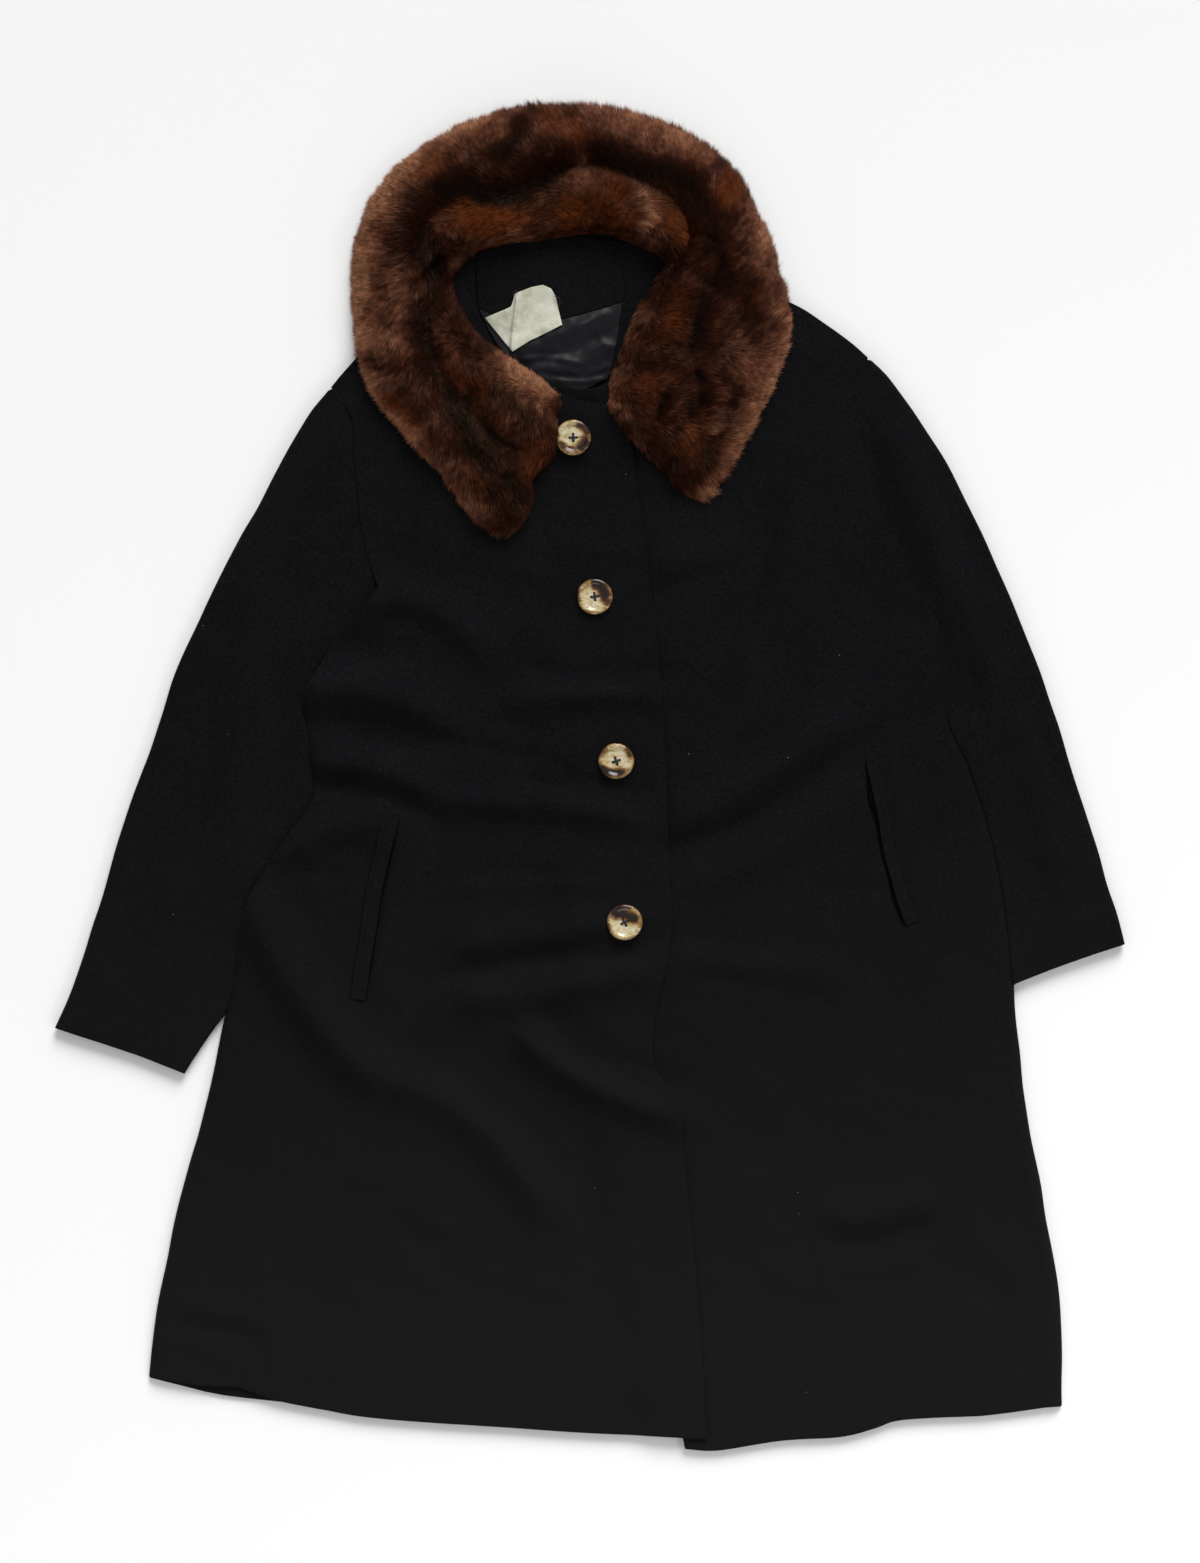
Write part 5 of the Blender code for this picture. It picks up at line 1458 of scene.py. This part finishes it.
class COAT_OT_neck(bpy.types.Operator):
    """Lays the facings and the satin lining inside the neck"""

    bl_idname = "coat.neck"
    bl_label = "Neck facings and lining"

    def execute(self, context):
        on_back = flat_at(WOOL + SEAM)
        strip = stretch(through(RIGHT_NECK), RIGHT_FACING_REACH, 0, -1.5 * NECK_GAP)
        seam = stretch(through(RIGHT_FACING_SEAM), RIGHT_FACING_START, 1, NECK_GAP)
        below_corner = stretch(through(LINING_RIGHT), sideways=-NECK_GAP)
        above_corner = stretch(through(LEFT_FACING_SEAM), sideways=-NECK_GAP)
        # Each piece: name, solid, edges, columns and rows, underside, thickness, rim, cloth, slot and cut.
        pieces = (
            ("wool_neck_facing", "back_neck_facing", (
                chain(smooth(BACK_FACING_BOTTOM)), chain(smooth(BACK_FACING_TOP)),
                straight(BACK_FACING_BOTTOM[0], BACK_FACING_TOP[0]), chain(smooth(LEFT_FACING_SEAM)),
            ), (40, 20), on_back, FACING, 0.8, facing_wool, "wool", (0.125, 0.075), 0.0078),
            ("wool_front_facing_right", "front_facing_right", (
                straight(strip[0], seam[0]), straight(strip[-1], seam[-1]), chain(strip), chain(seam),
            ), (8, 24), on_back, FACING, 0.6, facing_wool, "wool", (0.03, 0.065), 0.0007),
            ("wool_front_facing_left", "front_facing_left", (
                straight(LINING_RIGHT[0], LEFT_FACING_OUTER[0]),
                straight(LEFT_FACING_SEAM[-1], LEFT_FACING_OUTER[-1]),
                chain(below_corner, above_corner), chain(smooth(LEFT_FACING_OUTER)),
            ), (12, 36), on_back, FACING, 0.6, facing_wool, "wool", (0.06, 0.12), 0.0027),
            ("satin_neck_lining", "lining", (
                chain(smooth(LINING_BOTTOM)), chain(stretch(through(BACK_FACING_BOTTOM), sideways=-NECK_GAP)),
                chain(smooth(LINING_LEFT)), chain(smooth(LINING_RIGHT)),
            ), (56, 44), lining_under, SATIN, 0.4, satin_lining, "satin", (0.125, 0.075), 0.0046),
        )
        for name, node, edges, (columns, rows), under, thick, rim, cloth, slot, flat, area in pieces:
            made = laid_cloth(name, patch(*edges), in_steps(columns), in_steps(rows), under, thick, rim)
            finish_piece(made, cloth(), slot, node)
        return {"FINISHED"}


def lining_under(x, y, u, v):
    """The satin lining's underside, with its folds."""
    return WOOL + SEAM + np.maximum(0.0, fold_height(LINING_FOLDS, x, y) + waves(x, y, *LINING_WAVES))


class COAT_OT_label(bpy.types.Operator):
    """Sews the blank label across the seam of the facing and the lining, creased, with loose threads"""

    bl_idname = "coat.label"
    bl_label = "Label"

    def execute(self, context):
        below = tree_of(piece("wool_neck_facing"), piece("satin_neck_lining"))

        def under(x, y, u, v):
            rest = highest_under(below, x, y, reach=5) + SEAM
            # Its upper edge curls up on both sides of one place that stays down.
            curl = LABEL_LIFT * ease((v - 0.6) * 2.5) * ease(abs(u - LABEL_DOWN) * 3)
            return rest + curl + fold_height([LABEL_CREASE], x, y)

        label = laid_cloth(
            "blank_label",
            patch(
                chain(LABEL_BOTTOM), chain(LABEL_TOP),
                straight(LABEL_BOTTOM[0], LABEL_TOP[0]), straight(LABEL_BOTTOM[-1], LABEL_TOP[-1]),
            ),
            in_steps(44), in_steps(32), under, LABEL_THICK, LABEL_RIM,
        )
        finish_piece(label, cotton_label(), "label", "label")
        first, second = (tube("loose_thread", points, LOOSE_THREAD) for points in LOOSE_THREADS)
        join(first, [second]).name = "label_loose_threads"
        finish_piece(first, sewing_thread(), "label")
        return {"FINISHED"}


def tube(name, points, diameter, resolution=3):
    """A thread through points in millimetres, as a closed mesh."""
    deselect()
    bpy.ops.curve.primitive_nurbs_path_add()
    obj = named(name)
    curve = obj.data
    curve.splines.clear()
    spline = curve.splines.new("NURBS")
    spline.points.add(len(points) - 1)
    for point, place in zip(spline.points, points):
        point.co = (*(c * MM for c in place), 1)
    spline.order_u = min(4, len(points))
    spline.use_endpoint_u = True
    curve.dimensions = "3D"
    curve.bevel_depth = diameter / 2 * MM
    curve.bevel_resolution = resolution
    curve.use_fill_caps = True
    only(obj)
    bpy.ops.object.convert(target="MESH")
    made = named(name)
    edit_whole(face_outwards)
    return smoothed(made)


class COAT_OT_pockets(bpy.types.Operator):
    """Sews on the two pocket welts with their topstitching, beside their open mouths"""

    bl_idname = "coat.pockets"
    bl_label = "Pocket welts"

    def execute(self, context):
        fronts = tree_of(piece("wool_front_left"), piece("wool_front_right"))
        at = np.linspace(0, 1, 60)

        def under(x, y, u, v):
            return highest_under(fronts, x, y, reach=4) + SEAM

        for side, mouth, sideways, front in (
            ("right", RIGHT_POCKET, -WELT_WIDTH, "wool_front_right"),
            ("left", LEFT_POCKET, WELT_WIDTH, "wool_front_left"),
        ):
            curve = through(mouth)
            welt = laid_cloth(
                f"wool_pocket_welt_{side}", between(stretch(curve), stretch(curve, sideways=sideways)),
                in_steps(20), in_steps(WELT_SEGMENTS), under, welt_thickness, WELT_RIM,
            )
            # The mouth's lip stands away from the welt, and its other side is tucked under the welt.
            open_by = MOUTH_OPEN + sum(g * np.exp(-(((at - spot) / w) ** 2)) for g, spot, w in GAPES[side])
            lip = stretch(curve, sideways=-np.sign(sideways) * open_by)
            gape = laid_cloth(
                f"pocket_mouth_{side}", between(lip, stretch(curve, sideways=MOUTH_TUCK * sideways)),
                in_steps(4), in_steps(WELT_SEGMENTS), lambda *place: under(*place) - MOUTH_BELOW, MOUTH_THICK,
                rim=0,
            )
            # The mouth's piece is painted near-black: the pocket bag's cotton, and painted shade in the
            # mouth.
            finish_piece(gape, pocket_mouth_painted_shade(), "wool")
            finish_piece(welt, wool_melton(), "wool", f"pocket_welt_{side}")
        return {"FINISHED"}


def between(left, right):
    """The patch between two lists of points, with straight ends."""
    return patch(straight(left[0], right[0]), straight(left[-1], right[-1]), chain(left), chain(right))


def welt_thickness(x, y, u, v):
    """A welt's thickness: fuller at the mouth, pressed in along its topstitching, and thin at its ends."""
    where, wide, deep = WELT_STITCHING
    stitched = np.exp(-(((u - where) / wide) ** 2))
    full = WELT_THICK + 0.6 * (1 - ease(4 * u)) - deep * stitched - 0.5 * u
    return full * (0.3 + 0.7 * ease(v / 0.07) * ease((1 - v) / 0.07))


def horn_button():
    """One turned button at the origin, spun up from a circle by extruding rings, with four bored holes."""
    deselect()
    bpy.ops.mesh.primitive_circle_add(vertices=72, radius=BUTTON_RINGS[0][0] * MM, fill_type="NGON")
    obj = named("turned_button")
    bpy.ops.object.mode_set(mode="EDIT")
    bpy.ops.mesh.select_all(action="SELECT")
    for (r0, z0), (r1, z1) in zip(BUTTON_RINGS, BUTTON_RINGS[1:]):
        bpy.ops.mesh.extrude_region_move(TRANSFORM_OT_translate={"value": (0, 0, (z1 - z0) * MM)})
        bpy.ops.transform.resize(value=(r1 / r0, r1 / r0, 1), center_override=(0, 0, z1 * MM))
    bpy.ops.object.mode_set(mode="OBJECT")
    edit_whole(face_outwards)
    for k in range(4):
        angle = math.radians(90 * k)
        deselect()
        bpy.ops.mesh.primitive_cylinder_add(
            vertices=20, radius=BUTTON_HOLE * MM, depth=0.02,
            location=(BUTTON_HOLE_REACH * MM * math.cos(angle), BUTTON_HOLE_REACH * MM * math.sin(angle), 0),
        )
        bore = named("thread_bore")
        apply_modifier(obj, "BOOLEAN", operation="DIFFERENCE", object=bore, solver="EXACT")
        bpy.data.objects.remove(bore)
    only(obj)
    bpy.ops.object.shade_smooth_by_angle(angle=math.radians(40))
    return obj


def cross_stitch(diameter):
    """The crossed threads of one button: down through its holes and over its middle."""
    reach, (low, high) = BUTTON_HOLE_REACH, STITCH_HEIGHTS
    stitches = []
    for turn, over in ((0, 0.0), (90, STITCH_OVER)):
        c, s = math.cos(math.radians(turn)), math.sin(math.radians(turn))
        for beside in (-STITCH_BESIDE, STITCH_BESIDE):
            path = [
                (-reach, low), (-reach * 0.98, high - 0.5), (-reach * 0.8, high), (0, high + 0.15 + over),
                (reach * 0.8, high), (reach * 0.98, high - 0.5), (reach, low),
            ]
            stitches.append(tube(
                "stitch", [(d * c - beside * s, d * s + beside * c, z) for d, z in path], diameter, 2,
            ))
    return join(stitches[0], stitches[1:])


def copy_at(obj, name, place, turn):
    """A copy with its own mesh, turned about Z by degrees and moved to a place in metres, both applied."""
    only(obj)
    bpy.ops.object.duplicate()
    made = named(name)
    made.rotation_euler = (0, 0, math.radians(turn))
    made.location = place
    bpy.ops.object.transform_apply(location=True, rotation=True, scale=True)
    return made


class COAT_OT_buttons(bpy.types.Operator):
    """Turns one horn button with its crossed thread, and sews four copies down the right front"""

    bl_idname = "coat.buttons"
    bl_label = "Buttons"

    def execute(self, context):
        button, stitch = horn_button(), cross_stitch(settings().thread / MM)
        for name, (x, y) in BUTTONS.items():
            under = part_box(name)[0][2]
            made = copy_at(button, f"horn_{name}", (x * MM, y * MM, under), BUTTON_TURN[name])
            from_middle = points_of(made)[:, :2] / MM - (x, y)
            smoke = fold_height(BUTTON_SMOKE[name], *from_middle.T)
            smoke += SMOKY_RIM * (np.hypot(*from_middle.T) / BUTTON_RADIUS) ** 5
            store(made, "smoke", smoke)
            finish_piece(made, horn(), "horn", name)
            thread = copy_at(stitch, f"thread_{name}", (x * MM, y * MM, under), BUTTON_TURN[name])
            finish_piece(thread, sewing_thread(), "horn")
        for spare in (button, stitch):
            bpy.data.objects.remove(spare)
        return {"FINISHED"}


class COAT_OT_collar(bpy.types.Operator):
    """Lays the mink collar round the neck: its padded skin, and the hair set in it"""

    bl_idname = "coat.collar"
    bl_label = "Mink collar"

    def execute(self, context):
        names = (
            "wool_back", "wool_front_left", "wool_front_right", "wool_sleeve_right", "wool_sleeve_left",
            "wool_neck_facing", "wool_front_facing_right", "wool_front_facing_left", "satin_neck_lining",
            "blank_label",
        )
        skin = CollarBase(tree_of(*(piece(name) for name in names)))
        base, u, v = grid("mink_skin", skin.us, skin.vs)
        columns, rows = np.rint(u * skin.COLUMNS).astype(int), np.rint(v * skin.ROWS).astype(int)
        index = rows * (skin.COLUMNS + 1) + columns
        put_points(base, skin.low[index] * MM)
        raised(base, (skin.top - skin.low)[index, 2])
        x, y = points_of(base).T[:2] / MM
        tones = np.ones((len(x), 4))
        tones[:, :3] = pelt_colour(x, y, fold_height(PELT_STREAKS, x, y)) * UNDERFUR_SHADE
        store_colours(base.data, tones)
        finish_piece(smoothed(base), mink("mink_underfur", 0.85), "fur", "collar_fur")

        guard = mink("mink_guard_hair", 0.5)
        for k, name in enumerate(("right_end", "back_right", "back_left", "left_end")):
            hairs = set_hairs(
                f"mink_hair_{name}", skin, settings().hairs, (k / 4, (k + 1) / 4), 100 + k,
                settings().hair_length / MM, settings().hair_width / MM,
            )
            finish_piece(hairs, guard, "fur")
        return {"FINISHED"}


class COAT_PT_panel(bpy.types.Panel):
    """Lists the coat's pieces, in the order in which they are put together"""

    bl_label = "Fur-collar coat"
    bl_idname = "COAT_PT_panel"
    bl_space_type = "VIEW_3D"
    bl_region_type = "UI"
    bl_category = "Coat"

    def draw(self, context):
        for field in ("rim", "hairs", "hair_length", "hair_width", "thread", "floor"):
            self.layout.prop(context.scene.coat_settings, field)
        for operator in OPERATORS:
            self.layout.operator(operator.bl_idname)


OPERATORS = (
    COAT_OT_stage, COAT_OT_back, COAT_OT_fronts, COAT_OT_sleeves, COAT_OT_neck, COAT_OT_label,
    COAT_OT_pockets, COAT_OT_buttons, COAT_OT_collar,
)


def register():
    for made in (CoatSettings, *OPERATORS, COAT_PT_panel):
        bpy.utils.register_class(made)
    bpy.types.Scene.coat_settings = bpy.props.PointerProperty(type=CoatSettings)


def unregister():
    del bpy.types.Scene.coat_settings
    for made in (COAT_PT_panel, *reversed(OPERATORS), CoatSettings):
        bpy.utils.unregister_class(made)


def main():
    register()
    for operator in OPERATORS:
        section, name = operator.bl_idname.split(".")
        getattr(getattr(bpy.ops, section), name)()
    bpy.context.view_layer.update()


if __name__ == "__main__":
    main()
